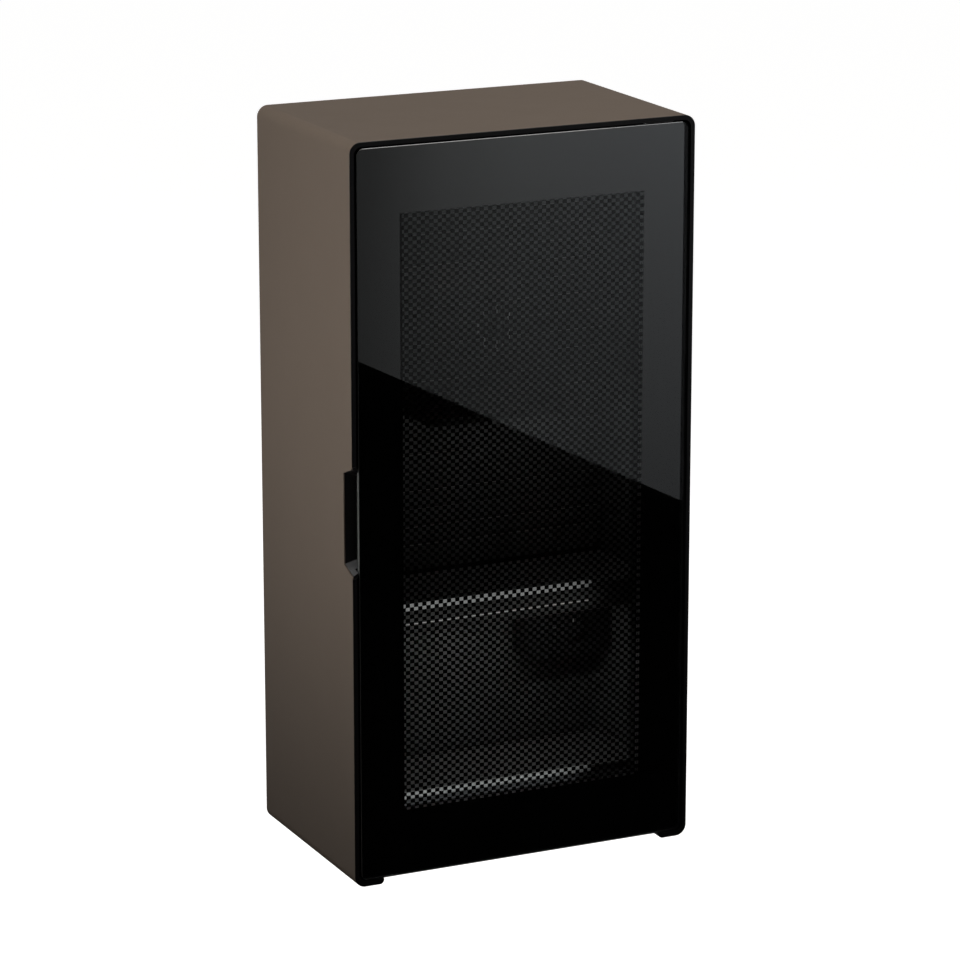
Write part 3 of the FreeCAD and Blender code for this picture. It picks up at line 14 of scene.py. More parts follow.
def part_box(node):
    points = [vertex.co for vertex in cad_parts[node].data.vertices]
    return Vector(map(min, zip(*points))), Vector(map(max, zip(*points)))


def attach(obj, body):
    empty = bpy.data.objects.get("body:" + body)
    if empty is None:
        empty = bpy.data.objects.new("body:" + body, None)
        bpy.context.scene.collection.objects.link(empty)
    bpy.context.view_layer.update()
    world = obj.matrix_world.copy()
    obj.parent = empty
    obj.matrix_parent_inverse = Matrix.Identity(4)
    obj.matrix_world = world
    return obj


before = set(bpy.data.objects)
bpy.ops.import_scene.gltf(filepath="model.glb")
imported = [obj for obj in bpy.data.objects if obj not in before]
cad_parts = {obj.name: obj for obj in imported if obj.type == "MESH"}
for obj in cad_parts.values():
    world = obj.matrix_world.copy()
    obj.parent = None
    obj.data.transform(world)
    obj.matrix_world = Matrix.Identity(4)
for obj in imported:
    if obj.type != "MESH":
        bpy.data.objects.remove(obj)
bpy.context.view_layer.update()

LOG = logging.getLogger("minibar")
MM = 0.001
GLASS_CORNER = 7.5 * MM
SPACER_WIDTH = 6 * MM
NOISE_ROUGHNESS = 0.55
Colour = tuple[float, float, float]
Point = tuple[float, float, float]
WHITE = (1.0, 1.0, 1.0)
BAR_LIGHT = (1.0, 0.98, 0.95)


class Body(Enum):
    """The rigid bodies that pieces ride on."""

    CABINET = "cabinet"
    DOOR = "door"
    DIAL = "thermostat_dial"


class Slot(Enum):
    """Record slots given with the added pieces; their finishes are passed to them directly."""

    PRINT = "black_print"
    SHELF = "shelf_plastic"
    DARK = "dark_plastic"
    SPACER = "spacer_bar"
    GLASS = "door_glass"


class Axis(Enum):
    """The way that a brushed or drawn surface's streaks run."""

    X = (0.02, 1.0, 1.0)
    Y = (1.0, 0.02, 1.0)
    Z = (1.0, 1.0, 0.02)


class Wire:
    """A node's output, with Python's operators adding Math nodes."""

    def __init__(self, graph: "Graph", socket: bpy.types.NodeSocket) -> None:
        """Keeps the graph and the socket."""
        self.graph = graph
        self.socket = socket

    def _math(self, operation: str, first: Any, second: Any) -> "Wire":
        """Adds one Math node.

        Args:
            operation: the Math node's operation.
            first: the first operand.
            second: the second operand.

        Returns:
            The node's result.
        """
        return self.graph.node("ShaderNodeMath", {"operation": operation}, {0: first, 1: second})

    def __add__(self, other: Any) -> "Wire":
        """Returns the sum."""
        return self._math("ADD", self, other)

    __radd__ = __add__

    def __sub__(self, other: Any) -> "Wire":
        """Returns the difference."""
        return self._math("SUBTRACT", self, other)

    def __rsub__(self, other: Any) -> "Wire":
        """Returns the difference, reflected."""
        return self._math("SUBTRACT", other, self)

    def __mul__(self, other: Any) -> "Wire":
        """Returns the product."""
        return self._math("MULTIPLY", self, other)

    __rmul__ = __mul__

    def __truediv__(self, other: Any) -> "Wire":
        """Returns the quotient."""
        return self._math("DIVIDE", self, other)

    def __lt__(self, other: Any) -> "Wire":
        """Returns 1 where the value is below the other."""
        return self._math("LESS_THAN", self, other)

    def __gt__(self, other: Any) -> "Wire":
        """Returns 1 where the value is above the other."""
        return self._math("GREATER_THAN", self, other)

    def modulo(self, other: Any) -> "Wire":
        """Returns the remainder, from 0 to the divisor."""
        return self._math("FLOORED_MODULO", self, other)


class Graph:
    """A material's or the world's node tree, built by one method."""

    def __init__(self, tree: bpy.types.NodeTree) -> None:
        """Empties the tree."""
        self.tree = tree
        tree.nodes.clear()

    def node(self, kind: str, settings: dict[str, Any] | None = None, sockets: dict[Any, Any] | None = None,
             out: int | str = 0) -> Wire:
        """Adds a node.

        Args:
            kind: the node's type.
            settings: its properties; "stops" fills a colour ramp.
            sockets: the values or wires of its inputs, by name or number.
            out: the output wanted.

        Returns:
            That output.
        """
        made = self.tree.nodes.new(kind)
        for key, value in (settings or {}).items():
            if key == "stops":
                self._fill_ramp(made, value)
            else:
                setattr(made, key, value)
        for key, value in (sockets or {}).items():
            if isinstance(value, Wire):
                self.tree.links.new(value.socket, made.inputs[key])
            else:
                made.inputs[key].default_value = value
        return Wire(self, made.outputs[out] if len(made.outputs) else None)

    @staticmethod
    def _fill_ramp(made: bpy.types.Node, stops: list[tuple[float, Colour]]) -> None:
        """Sets a colour ramp's stops.

        Args:
            made: the ramp's node.
            stops: places from 0 to 1, each with its colour.
        """
        elements = made.color_ramp.elements
        while len(elements) < len(stops):
            elements.new(1.0)
        for element, (place, colour) in zip(elements, stops):
            element.position = place
            element.color = (*colour, 1.0)

    def coords(self) -> Wire:
        """Returns Object coordinates, in metres."""
        return self.node("ShaderNodeTexCoord", out="Object")

    def stretched(self, scale: Point) -> Wire:
        """Returns Object coordinates scaled on each axis."""
        return self.node("ShaderNodeMapping", {}, {"Vector": self.coords(), "Scale": scale})

    def noise(self, scale: float, detail: float = 2.0, vector: Wire | None = None) -> Wire:
        """Adds a noise texture.

        Args:
            scale: features per metre.
            detail: octaves.
            vector: coordinates other than the object's.

        Returns:
            A value from 0 to 1.
        """
        return self.node("ShaderNodeTexNoise", {},
                         {"Vector": vector or self.coords(), "Scale": scale, "Detail": detail,
                          "Roughness": NOISE_ROUGHNESS})

    def mixed(self, factor: Wire, first: Any, second: Any) -> Wire:
        """Mixes two colours by a factor."""
        return self.node("ShaderNodeMix", {"data_type": "RGBA"}, {0: factor, 6: first, 7: second}, out=2)

    def bump(self, height: Wire, depth: float) -> Wire:
        """Returns a normal bent by a height of that depth in metres."""
        return self.node("ShaderNodeBump", {}, {"Height": height, "Strength": 1.0, "Distance": depth})

    def axis_value(self, axis: str) -> Wire:
        """Returns one Object coordinate."""
        return self.node("ShaderNodeSeparateXYZ", {}, {"Vector": self.coords()}, out=axis)


def shade(colour: Colour, factor: float = 1.0) -> tuple[float, float, float, float]:
    """Returns the colour scaled, with alpha."""
    return tuple(min(1.0, part * factor) for part in colour) + (1.0,)


def new_material(name: str) -> tuple[bpy.types.Material, Graph]:
    """Makes an empty material.

    Args:
        name: its name.

    Returns:
        The material and its node tree.
    """
    material = bpy.data.materials.new(name)
    material.use_nodes = True
    return material, Graph(material.node_tree)


def add_object(name: str, data: Any) -> bpy.types.Object:
    """Puts a new object into the scene.

    Args:
        name: its name.
        data: its mesh, light or camera.

    Returns:
        The object, at the origin.
    """
    made = bpy.data.objects.new(name, data)
    bpy.context.scene.collection.objects.link(made)
    return made


@dataclass(frozen=True)
class Finish:
    """A moulded, painted or cast surface: tone drift, fine grain and uneven gloss."""

    name: str
    colour: Colour
    roughness: float
    metallic: float = 0.0
    drift: float = 0.10
    drift_scale: float = 7.0
    grain_scale: float = 1400.0
    grain_depth: float = 0.00003
    gloss_spread: float = 0.08
    smudge_finer: float = 5.0
    coat: float = 0.0
    coat_roughness: float = 0.2
    specular: float = 0.5
    ior: float = 1.5

    def pattern(self, graph: Graph) -> Wire:
        """Returns the tone pattern, from 0 to 1."""
        return graph.noise(self.drift_scale, detail=3.0)

    def relief(self, graph: Graph) -> Wire:
        """Returns the height pattern, from 0 to 1."""
        return graph.noise(self.grain_scale)

    def sockets(self, graph: Graph) -> dict[str, Any]:
        """Works out what the shader's sockets get.

        Args:
            graph: the material's node tree.

        Returns:
            A value or a wire for each socket, by the socket's name.
        """
        tone = self.pattern(graph)
        height = self.relief(graph)
        smudge = graph.noise(self.drift_scale * self.smudge_finer, detail=4.0)
        spread = self.gloss_spread
        dark, pale = shade(self.colour, 1.0 - self.drift), shade(self.colour, 1.0 + self.drift)
        return {
            "Base Color": graph.mixed(tone, dark, pale),
            "Roughness": smudge * spread + (self.roughness - spread / 2),
            "Metallic": self.metallic,
            "Coat Weight": self.coat,
            "Coat Roughness": self.coat_roughness,
            "Specular IOR Level": self.specular,
            "IOR": self.ior,
            "Normal": graph.bump(height, self.grain_depth),
        }

    def build(self) -> bpy.types.Material:
        """Makes the material.

        Returns:
            The finished material.
        """
        material, graph = new_material(self.name)
        shader = graph.node("ShaderNodeBsdfPrincipled", {}, self.sockets(graph))
        graph.node("ShaderNodeOutputMaterial", {}, {"Surface": shader})
        return material


@dataclass(frozen=True)
class Lacquer(Finish):
    """Satin lacquer on sheet steel: fine metallic fleck over the tone, soft orange peel."""

    fleck_scale: float = 5200.0
    fleck_share: float = 0.45
    peel_scale: float = 260.0
    peel_share: float = 0.8

    def pattern(self, graph: Graph) -> Wire:
        """Returns slow drift with a fine fleck."""
        fleck = graph.noise(self.fleck_scale, detail=1.0) * self.fleck_share
        return graph.noise(self.drift_scale) * (1.0 - self.fleck_share) + fleck

    def relief(self, graph: Graph) -> Wire:
        """Returns orange peel with a finer grain."""
        grain = graph.noise(self.grain_scale, detail=1.0) * (1.0 - self.peel_share)
        return graph.noise(self.peel_scale) * self.peel_share + grain


@dataclass(frozen=True)
class Streaked(Finish):
    """Brushed, drawn or extruded metal: long streaks along one axis."""

    along: Axis = Axis.Z
    streaks: float = 1500.0
    relief_finer: float = 1.7

    def pattern(self, graph: Graph) -> Wire:
        """Returns the streaks."""
        return graph.noise(self.streaks, detail=3.0, vector=graph.stretched(self.along.value))

    def relief(self, graph: Graph) -> Wire:
        """Returns finer streaks."""
        return graph.noise(self.streaks * self.relief_finer, vector=graph.stretched(self.along.value))


@dataclass(frozen=True)
class PaintedTopLight(Finish):
    """Black plastic whose upward faces are painted paler: a painted highlight for the light that falls on
    them from above.
    """

    # Colour of the painted highlight on upward faces.
    painted_light_colour: Colour = (0.066, 0.069, 0.073)
    steepness: float = 0.35
    painted_light_scale: float = 220.0
    painted_light_least: float = 0.8
    painted_light_spread: float = 0.25

    def sockets(self, graph: Graph) -> dict[str, Any]:
        """Works out the plastic's sockets, with a painted highlight on upward faces.

        Args:
            graph: the material's node tree.

        Returns:
            A value or a wire for each socket.
        """
        found = super().sockets(graph)
        normal = graph.node("ShaderNodeTexCoord", out="Normal")
        # Painted highlight: faces turned upwards get a paler, mottled colour in place of the light from
        # above.
        upward = graph.node("ShaderNodeSeparateXYZ", {}, {"Vector": normal}, out="Z") > self.steepness
        painted_light = graph.noise(self.painted_light_scale, detail=3.0) * self.painted_light_spread + self.painted_light_least
        found["Base Color"] = graph.mixed(upward * painted_light, found["Base Color"], shade(self.painted_light_colour))
        return found


@dataclass(frozen=True)
class Spangled(Finish):
    """Zinc-plated steel: faint crystal patches."""

    spangle_scale: float = 160.0
    spangle_share: float = 0.7

    def pattern(self, graph: Graph) -> Wire:
        """Gives each crystal its own tone, softened by noise.

        Args:
            graph: the material's node tree.

        Returns:
            The tone, from 0 to 1.
        """
        cell = graph.node("ShaderNodeTexVoronoi", {"feature": "F1"},
                          {"Vector": graph.coords(), "Scale": self.spangle_scale}, out="Color")
        tone = graph.node("ShaderNodeSeparateColor", {}, {"Color": cell})
        return tone * self.spangle_share + graph.noise(self.grain_scale) * (1.0 - self.spangle_share)


@dataclass(frozen=True)
class Board(Finish):
    """Circuit board: solder mask with pale tracks and pads."""

    track_colour: Colour = (0.10, 0.26, 0.12)
    track_pitch: float = 3.2 * MM
    track_share: float = 0.28
    bend: float = 6.0 * MM
    bend_scale: float = 90.0
    gap_scale: float = 45.0
    gap_level: float = 0.42

    def sockets(self, graph: Graph) -> dict[str, Any]:
        """Works out the mask's sockets, with tracks laid over the colour.

        Args:
            graph: the material's node tree.

        Returns:
            A value or a wire for each socket.
        """
        found = super().sockets(graph)
        height = graph.axis_value("Z") + graph.noise(self.bend_scale, detail=1.0) * self.bend
        across = height.modulo(self.track_pitch) < self.track_pitch * self.track_share
        whole = graph.noise(self.gap_scale, detail=0.0) > self.gap_level
        found["Base Color"] = graph.mixed(across * whole, found["Base Color"], shade(self.track_colour))
        return found


@dataclass(frozen=True)
class Diffuser(Finish):
    """Frosted bar lit from behind by a row of lamps, weaker towards its right end."""

    glow: float = 1.0
    glow_colour: Colour = (1.0, 0.975, 0.985)
    between_lamps: float = 0.86
    far_end: float = 0.1
    lamp_pitch: float = 21.9 * MM
    start: float = -168.0 * MM
    length: float = 270.0 * MM
    stops: tuple[tuple[float, Colour], ...] = ((0.0, (0.0, 0.0, 0.0)), (0.72, (0.12, 0.12, 0.12)),
                                               (0.9, (0.3, 0.3, 0.3)), (1.0, (0.75, 0.75, 0.75)))

    def sockets(self, graph: Graph) -> dict[str, Any]:
        """Works out the bar's sockets: the glow swells softly at each lamp.

        Args:
            graph: the material's node tree.

        Returns:
            A value or a wire for each socket.
        """
        found = super().sockets(graph)
        phase = (graph.axis_value("X") - self.start).modulo(self.lamp_pitch) / self.lamp_pitch
        swell = graph.node("ShaderNodeMath", {"operation": "SINE"}, {0: phase * math.pi})
        lit = graph.mixed(swell, shade(self.glow_colour, self.between_lamps), shade(self.glow_colour))
        reach = (graph.axis_value("X") - self.start) / self.length
        dimming = graph.node("ShaderNodeValToRGB", {"stops": list(self.stops)}, {0: reach})
        found["Emission Color"] = graph.mixed(dimming, lit, shade(self.glow_colour, self.far_end))
        found["Emission Strength"] = self.glow
        return found


@dataclass(frozen=True)
class Clear(Finish):
    """Float glass with a low-reflection coating: faint tint, hardly visible waviness and wiping marks."""

    tint_least: float = 0.985
    wave_scale: float = 3.0
    wave_stretch: Point = (1.0, 1.0, 3.0)
    mark_scale: float = 38.0
    mark_stretch: Point = (3.0, 1.0, 1.0)

    def sockets(self, graph: Graph) -> dict[str, Any]:
        """Works out the pane's sockets.

        Args:
            graph: the material's node tree.

        Returns:
            A value or a wire for each socket.
        """
        wave = graph.noise(self.wave_scale, detail=3.0, vector=graph.stretched(self.wave_stretch))
        mark = graph.noise(self.mark_scale, detail=4.0, vector=graph.stretched(self.mark_stretch))
        return {
            "Base Color": graph.mixed(wave, shade(self.colour, self.tint_least), shade(self.colour)),
            "Roughness": mark * self.gloss_spread,
            "IOR": self.ior,
            "Transmission Weight": 1.0,
            "Normal": graph.bump(wave, self.grain_depth),
        }


@dataclass(frozen=True)
class Coating(Finish):
    """Thin reflecting coat on clear glass: a faint mirror that lets most light through."""

    cover: float = 0.05

    def sockets(self, graph: Graph) -> dict[str, Any]:
        """Returns the coat's sockets."""
        return super().sockets(graph) | {"Alpha": self.cover}


@dataclass(frozen=True)
class Perforated(Finish):
    """Spacer bar: bright metal with a row of small breather holes."""

    hole_pitch: float = 3.5 * MM
    hole_share: float = 0.30
    hole_shade: float = 0.06
    row_y: float = -251.1 * MM

    def sockets(self, graph: Graph) -> dict[str, Any]:
        """Works out the metal's sockets, dark in the holes.

        Args:
            graph: the material's node tree.

        Returns:
            A value or a wire for each socket.
        """
        found = super().sockets(graph)
        run = (graph.axis_value("Z") + graph.axis_value("X")).modulo(self.hole_pitch) / self.hole_pitch - 0.5
        side = (graph.axis_value("Y") - self.row_y) / self.hole_pitch
        hole = (run * run + side * side) < self.hole_share ** 2
        found["Base Color"] = graph.mixed(hole, found["Base Color"], shade(self.colour, self.hole_shade))
        found["Metallic"] = 1.0 - hole
        return found


SLEEVE = Lacquer("sleeve_lacquer", (0.128, 0.104, 0.084), 0.44, metallic=0.25, drift=0.07, drift_scale=4.0,
                 grain_depth=0.000012, gloss_spread=0.05, specular=0.4)
BLACK_FRAME = Finish("black_frame_plastic", (0.0030, 0.0030, 0.0033), 0.30, drift=0.18, grain_depth=0.00002,
                     specular=0.28)
# The pocket's upward faces carry a painted highlight.
POCKET = PaintedTopLight("pocket_plastic_painted_top_light", (0.0030, 0.0030, 0.0033), 0.34, drift=0.15, grain_depth=0.00002,
                specular=0.28)
EDGE = Finish("ground_glass_edge", (0.008, 0.009, 0.009), 0.4, drift=0.15, grain_scale=2500.0,
              grain_depth=0.00001)
GRIP_EDGE = Finish("satin_glass_edge", (0.068, 0.074, 0.074), 0.35, drift=0.08, grain_scale=2500.0,
                   grain_depth=0.00001)
INNER = Finish("inner_plastic", (0.060, 0.060, 0.062), 0.46, drift=0.06, grain_scale=2200.0,
               grain_depth=0.00002)
SHELF = Finish("shelf_plastic", (0.072, 0.072, 0.074), 0.42, drift=0.06, grain_scale=2600.0,
               grain_depth=0.00002)
DARK = Finish("dark_plastic", (0.014, 0.014, 0.015), 0.55, drift=0.15, grain_scale=1800.0,
              grain_depth=0.00004)
FOAM = Finish("rigid_foam", (0.72, 0.62, 0.36), 0.9, drift=0.12, drift_scale=30.0, grain_scale=900.0,
              grain_depth=0.0003)
BAY_SHEET = Streaked("bay_sheet", (0.62, 0.62, 0.63), 0.38, metallic=0.9, drift=0.06, grain_depth=0.00001,
                     along=Axis.X)
BOARD = Board("circuit_board", (0.018, 0.085, 0.036), 0.36, drift=0.1, coat=0.3)
BAR = Diffuser("frosted_bar", (0.15, 0.15, 0.15), 0.6, drift=0.02, grain_depth=0.00001, glow=0.20)
FLOOR_BAR = replace(BAR, name="frosted_floor_bar", glow=0.095)
TRIM = Streaked("bright_trim", (0.94, 0.94, 0.95), 0.36, metallic=0.2, drift=0.04, gloss_spread=0.06,
                grain_depth=0.000004, along=Axis.X)
ALUMINIUM = Streaked("extruded_aluminium", (0.66, 0.67, 0.68), 0.34, metallic=1.0, drift=0.10,
                     grain_depth=0.00002, along=Axis.Z)
CERAMIC = Finish("module_ceramic", (0.80, 0.80, 0.77), 0.6, drift=0.05, grain_scale=3000.0)
BRASS = Streaked("turned_brass", (0.72, 0.54, 0.24), 0.28, metallic=1.0, drift=0.12, grain_depth=0.00001,
                 along=Axis.Y)
REAR_SHEET = Lacquer("rear_sheet", (0.020, 0.020, 0.021), 0.55, drift=0.12, drift_scale=5.0,
                     grain_depth=0.00003, peel_scale=700.0)
SCREWS = Streaked("screw_steel", (0.50, 0.50, 0.51), 0.32, metallic=1.0, drift=0.18, drift_scale=60.0,
                  grain_depth=0.00002, along=Axis.Y)
RUBBER = Finish("soft_rubber", (0.016, 0.016, 0.016), 0.72, drift=0.2, drift_scale=20.0, grain_scale=1500.0,
                grain_depth=0.00005)
ZINC = Spangled("zinc_plated_steel", (0.58, 0.59, 0.61), 0.36, metallic=0.95, drift=0.14, grain_depth=0.00001)
FRONT_GLASS = Clear("front_glass", (0.95, 0.975, 0.965), 0.0, gloss_spread=0.004, grain_depth=0.000005,
                    ior=1.26)
COAT = Coating("window_coat", (0.93, 0.95, 0.96), 0.008, metallic=1.0, drift=0.03, drift_scale=3.0,
               grain_scale=60.0, grain_depth=0.000001, gloss_spread=0.008, cover=0.055)
PANE = Clear("inner_glass", (0.96, 0.985, 0.975), 0.0, gloss_spread=0.004, grain_depth=0.000005, ior=1.30)
BORDER = Finish("gloss_border_print", (0.0030, 0.0030, 0.0033), 0.006, drift=0.2, grain_scale=60.0,
                grain_depth=0.000001, gloss_spread=0.008, ior=1.81)
PRINT = Finish("black_print", (0.0020, 0.0020, 0.0022), 0.010, drift=0.2, grain_scale=60.0,
               grain_depth=0.000001, gloss_spread=0.012, ior=1.20)
ARRIS = Streaked("polished_arris", (0.010, 0.012, 0.011), 0.08, drift=0.04, gloss_spread=0.04,
                 grain_depth=0.000002, ior=1.5, along=Axis.Z)
SPACER = Perforated("spacer_bar", (0.36, 0.36, 0.37), 0.42, metallic=1.0, drift=0.05, grain_depth=0.00001)
DOOR_PLASTIC = Finish("door_plastic", (0.016, 0.016, 0.017), 0.42, drift=0.12, grain_depth=0.00003)
GASKET = Finish("gasket_rubber", (0.020, 0.020, 0.021), 0.66, drift=0.15, drift_scale=25.0,
                grain_scale=1700.0, grain_depth=0.00004)
MARK = Finish("dial_mark_paint", (0.30, 0.30, 0.30), 0.5, drift=0.05, grain_scale=2500.0, grain_depth=0.00001)
MAGNET = Finish("magnet_strip", (0.055, 0.048, 0.045), 0.7, drift=0.15, drift_scale=40.0)

FINISHES: dict[Finish, tuple[str, ...]] = {
    SLEEVE: ("casing",),
    BLACK_FRAME: ("bezel",),
    POCKET: ("grip_scoop",),
    INNER: ("liner", "slotted_back_panel"),
    SHELF: ("upper_shelf", "middle_shelf", "main_shelf", "floor_tray"),
    DARK: ("thermostat_housing", "thermostat_knob", "cold_fan_frame", "cold_fan_rotor", "hot_fan_frame",
           "hot_fan_rotor", "switch_frame", "switch_rocker", "thrust_washer", "door_sensor", "sink_posts",
           "fan_screws"),
    FOAM: ("foam_insulation",),
    BAY_SHEET: ("foam_back_plate", "power_supply"),
    BOARD: ("control_board", "main_led_strip", "floor_led_strip"),
    BAR: ("main_light_bar",),
    TRIM: ("main_shelf_trim",),
    ALUMINIUM: ("cold_sink", "cold_block", "hot_sink"),
    CERAMIC: ("peltier_module",),
    BRASS: ("board_standoffs",),
    REAR_SHEET: ("rear_panel",),
    SCREWS: ("rear_panel_screws", "rail_screws", "hinge_pin_top", "hinge_pin_bottom", "hinge_plate_screws",
             "block_screws"),
    RUBBER: ("cable_grommet", "wall_bumpers"),
    ZINC: ("wall_plate", "hang_rail", "hinge_plate_top", "hinge_plate_bottom", "strike_frame",
           "hinge_block_top", "hinge_block_bottom"),
    FRONT_GLASS: ("outer_glass",),
    PANE: ("inner_pane",),
    BORDER: ("printed_border",),
    SPACER: ("glazing_spacer",),
    DOOR_PLASTIC: ("door_frame",),
    GASKET: ("gasket",),
    MAGNET: ("gasket_magnets",),
    FLOOR_BAR: ("floor_light_bar",),
}


@dataclass
class Paintshop:
    """Builds each finish once and gives it to the CAD pieces."""

    built: dict[str, bpy.types.Material] = field(default_factory=dict)

    def material(self, finish: Finish) -> bpy.types.Material:
        """Makes a finish's material on first use.

        Args:
            finish: the finish.

        Returns:
            Its material.
        """
        if finish.name not in self.built:
            self.built[finish.name] = finish.build()
        return self.built[finish.name]

    def dress(self, piece: bpy.types.Object, finish: Finish) -> None:
        """Gives a piece one finish.

        Args:
            piece: the object to dress.
            finish: its finish.
        """
        piece.data.materials.clear()
        piece.data.materials.append(self.material(finish))
        LOG.info("%s: %s", piece.name, finish.name)

    def dress_cad(self) -> None:
        """Gives every CAD piece its finish."""
        for finish, names in FINISHES.items():
            for name in names:
                self.dress(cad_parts[name], finish)


@dataclass
class Workshop:
    """Turns bmeshes into pieces that ride on a body."""

    paint: Paintshop

    def piece(self, name: str, mesh: bmesh.types.BMesh, body: Body, finish: Finish, slot: Slot,
              smooth: bool = False) -> bpy.types.Object:
        """Makes a piece from a bmesh in the row's frame.

        Args:
            name: the piece's name.
            mesh: its shape, in metres, which is freed.
            body: the body it rides on.
            finish: its finish.
            slot: the record slot meant for its finish; not used.
            smooth: whether its faces are shaded smooth.

        Returns:
            The new object.
        """
        data = bpy.data.meshes.new(name)
        for face in mesh.faces:
            face.smooth = smooth
        mesh.to_mesh(data)
        mesh.free()
        made = add_object(name, data)
        self.paint.dress(made, finish)
        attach(made, body.value)
        return made


def add_bar(mesh: bmesh.types.BMesh, low: Point, high: Point, bevel: float = 0.0,
            turn: Matrix | None = None) -> None:
    """Adds a block between two corners to a bmesh, with its edges bevelled.

    Args:
        mesh: the bmesh that gets the block.
        low: its lowest corner.
        high: its highest corner.
        bevel: the bevel's width.
        turn: a transform applied last.
    """
    centre = (Vector(low) + Vector(high)) / 2
    size = Vector(high) - Vector(low)
    place = Matrix.Translation(centre) @ Matrix.Diagonal((*size, 1.0))
    new = bmesh.ops.create_cube(mesh, size=1.0, matrix=place)["verts"]
    if bevel > 0:
        edges = list({edge for vert in new for edge in vert.link_edges})
        new = bmesh.ops.bevel(mesh, geom=edges, offset=bevel, segments=2, profile=0.5, affect="EDGES",
                              material=-1)["verts"]
    if turn is not None:
        bmesh.ops.transform(mesh, matrix=turn, verts=list(new))


def window_span() -> tuple[float, float, float]:
    """Returns the printed window's half width, bottom and top, which lie inside the spacer."""
    low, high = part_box("glazing_spacer")
    return high.x - SPACER_WIDTH, low.z + SPACER_WIDTH, high.z - SPACER_WIDTH


@dataclass
class PrintedWindow:
    """The staggered black squares printed over the door's window, behind the front glass."""

    workshop: Workshop
    columns: int = 59
    rows: int = 158
    first_row: float = 0.695
    spread: float = 1.05
    offset: float = 0.05 * MM
    left_cover: float = 0.5

    def build(self) -> None:
        """Makes the squares: a grid over the window with every other face removed, its end rows cut short."""
        side, low_z, high_z = window_span()
        cell_x, cell_z = 2 * side / self.columns, (high_z - low_z) / self.rows
        rise = cell_z * (self.rows + 1) / 2
        plane_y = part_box("outer_glass")[1].y + self.offset
        centre = Vector((0.0, plane_y, low_z - (1 - self.first_row) * cell_z + rise))
        mesh = bmesh.new()
        stand_up = Matrix.Rotation(math.radians(90), 4, "X")
        place = Matrix.Translation(centre) @ stand_up @ Matrix.Diagonal((side, rise, 1.0, 1.0))
        bmesh.ops.create_grid(mesh, x_segments=self.columns, y_segments=self.rows + 1, size=1.0, matrix=place)
        clear = []
        for face in mesh.faces:
            middle = face.calc_center_median() - centre
            column = round((middle.x + side) / cell_x - 0.5)
            row = round((middle.z + rise) / cell_z - 0.5)
            if (column + row) % 2:
                clear.append(face)
        bmesh.ops.delete(mesh, geom=clear, context="FACES")
        bmesh.ops.split_edges(mesh, edges=mesh.edges[:])
        for face in mesh.faces:
            middle = face.calc_center_median()
            for vert in face.verts:
                vert.co = middle + (vert.co - middle) * self.spread
        edge = Matrix.Translation(centre + Vector((cell_x * self.left_cover / 2 - side, 0.0, 0.0)))
        cover = Matrix.Diagonal((cell_x * self.left_cover / 2, rise, 1.0, 1.0))
        bmesh.ops.create_grid(mesh, x_segments=1, y_segments=1, size=1.0, matrix=edge @ stand_up @ cover)
        for vert in mesh.verts:
            vert.co.x = min(max(vert.co.x, -side), side)
            vert.co.z = min(max(vert.co.z, low_z), high_z)
        self.workshop.piece("window_print", mesh, Body.DOOR, PRINT, Slot.PRINT)
        self._coat(side, low_z, high_z, plane_y + self.offset)

    def _coat(self, side: float, low_z: float, high_z: float, y: float) -> None:
        """Makes the coat behind the squares, which brightens the gaps between them.

        Args:
            side: the window's half width.
            low_z: its bottom.
            high_z: its top.
            y: the coat's depth.
        """
        mesh = bmesh.new()
        corners = ((-side, low_z), (side, low_z), (side, high_z), (-side, high_z))
        mesh.faces.new([mesh.verts.new((x, y, z)) for x, z in corners])
        self.workshop.piece("window_coat", mesh, Body.DOOR, COAT, Slot.GLASS)


def close_loop(mesh: bmesh.types.BMesh, verts: list[bmesh.types.BMVert]) -> list[bmesh.types.BMEdge]:
    """Returns the edges that join the vertices into a closed loop."""
    return [mesh.edges.new((verts[index - 1], verts[index])) for index in range(len(verts))]


def bridge(mesh: bmesh.types.BMesh, edges: list[bmesh.types.BMEdge]) -> None:
    """Fills the band between two loops, its faces all turned one way."""
    bmesh.ops.bridge_loops(mesh, edges=edges)
    bmesh.ops.recalc_face_normals(mesh, faces=mesh.faces[:])


def rounded_loop(mesh: bmesh.types.BMesh, node: str, radius: float, inset: float, y: float,
                 steps: int = 8) -> list[bmesh.types.BMEdge]:
    """Adds the rounded outline of a flat upright CAD piece as a closed loop.

    Args:
        mesh: the bmesh that gets it.
        node: the CAD piece.
        radius: the piece's corner radius.
        inset: the loop's distance inside the outline.
        y: the loop's depth.
        steps: the segments in each corner.

    Returns:
        The loop's edges.
    """
    low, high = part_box(node)
    verts = []
    for corner, (sx, sz) in enumerate(((1, 1), (-1, 1), (-1, -1), (1, -1))):
        x = (high.x if sx > 0 else low.x) - sx * radius
        z = (high.z if sz > 0 else low.z) - sz * radius
        for step in range(steps + 1):
            angle = math.radians(90 * (corner + step / steps))
            verts.append(mesh.verts.new((x + (radius - inset) * math.cos(angle), y,
                                         z + (radius - inset) * math.sin(angle))))
    return close_loop(mesh, verts)


@dataclass
class PrintedBorder:
    """The glossy black enamel round the window, fused into the rear of the front glass."""

    workshop: Workshop
    radius: float = GLASS_CORNER
    inset: float = 0.1 * MM
    depth: float = 0.05 * MM

    def build(self) -> None:
        """Makes the sheet between the glass's outline and the window."""
        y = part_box("outer_glass")[1].y - self.depth
        side, low_z, high_z = window_span()
        mesh = bmesh.new()
        edges = rounded_loop(mesh, "outer_glass", self.radius, self.inset, y)
        corners = ((side, high_z), (-side, high_z), (-side, low_z), (side, low_z))
        edges += close_loop(mesh, [mesh.verts.new((x, y, z)) for x, z in corners])
        bridge(mesh, edges)
        self.workshop.piece("border_enamel", mesh, Body.DOOR, BORDER, Slot.PRINT)


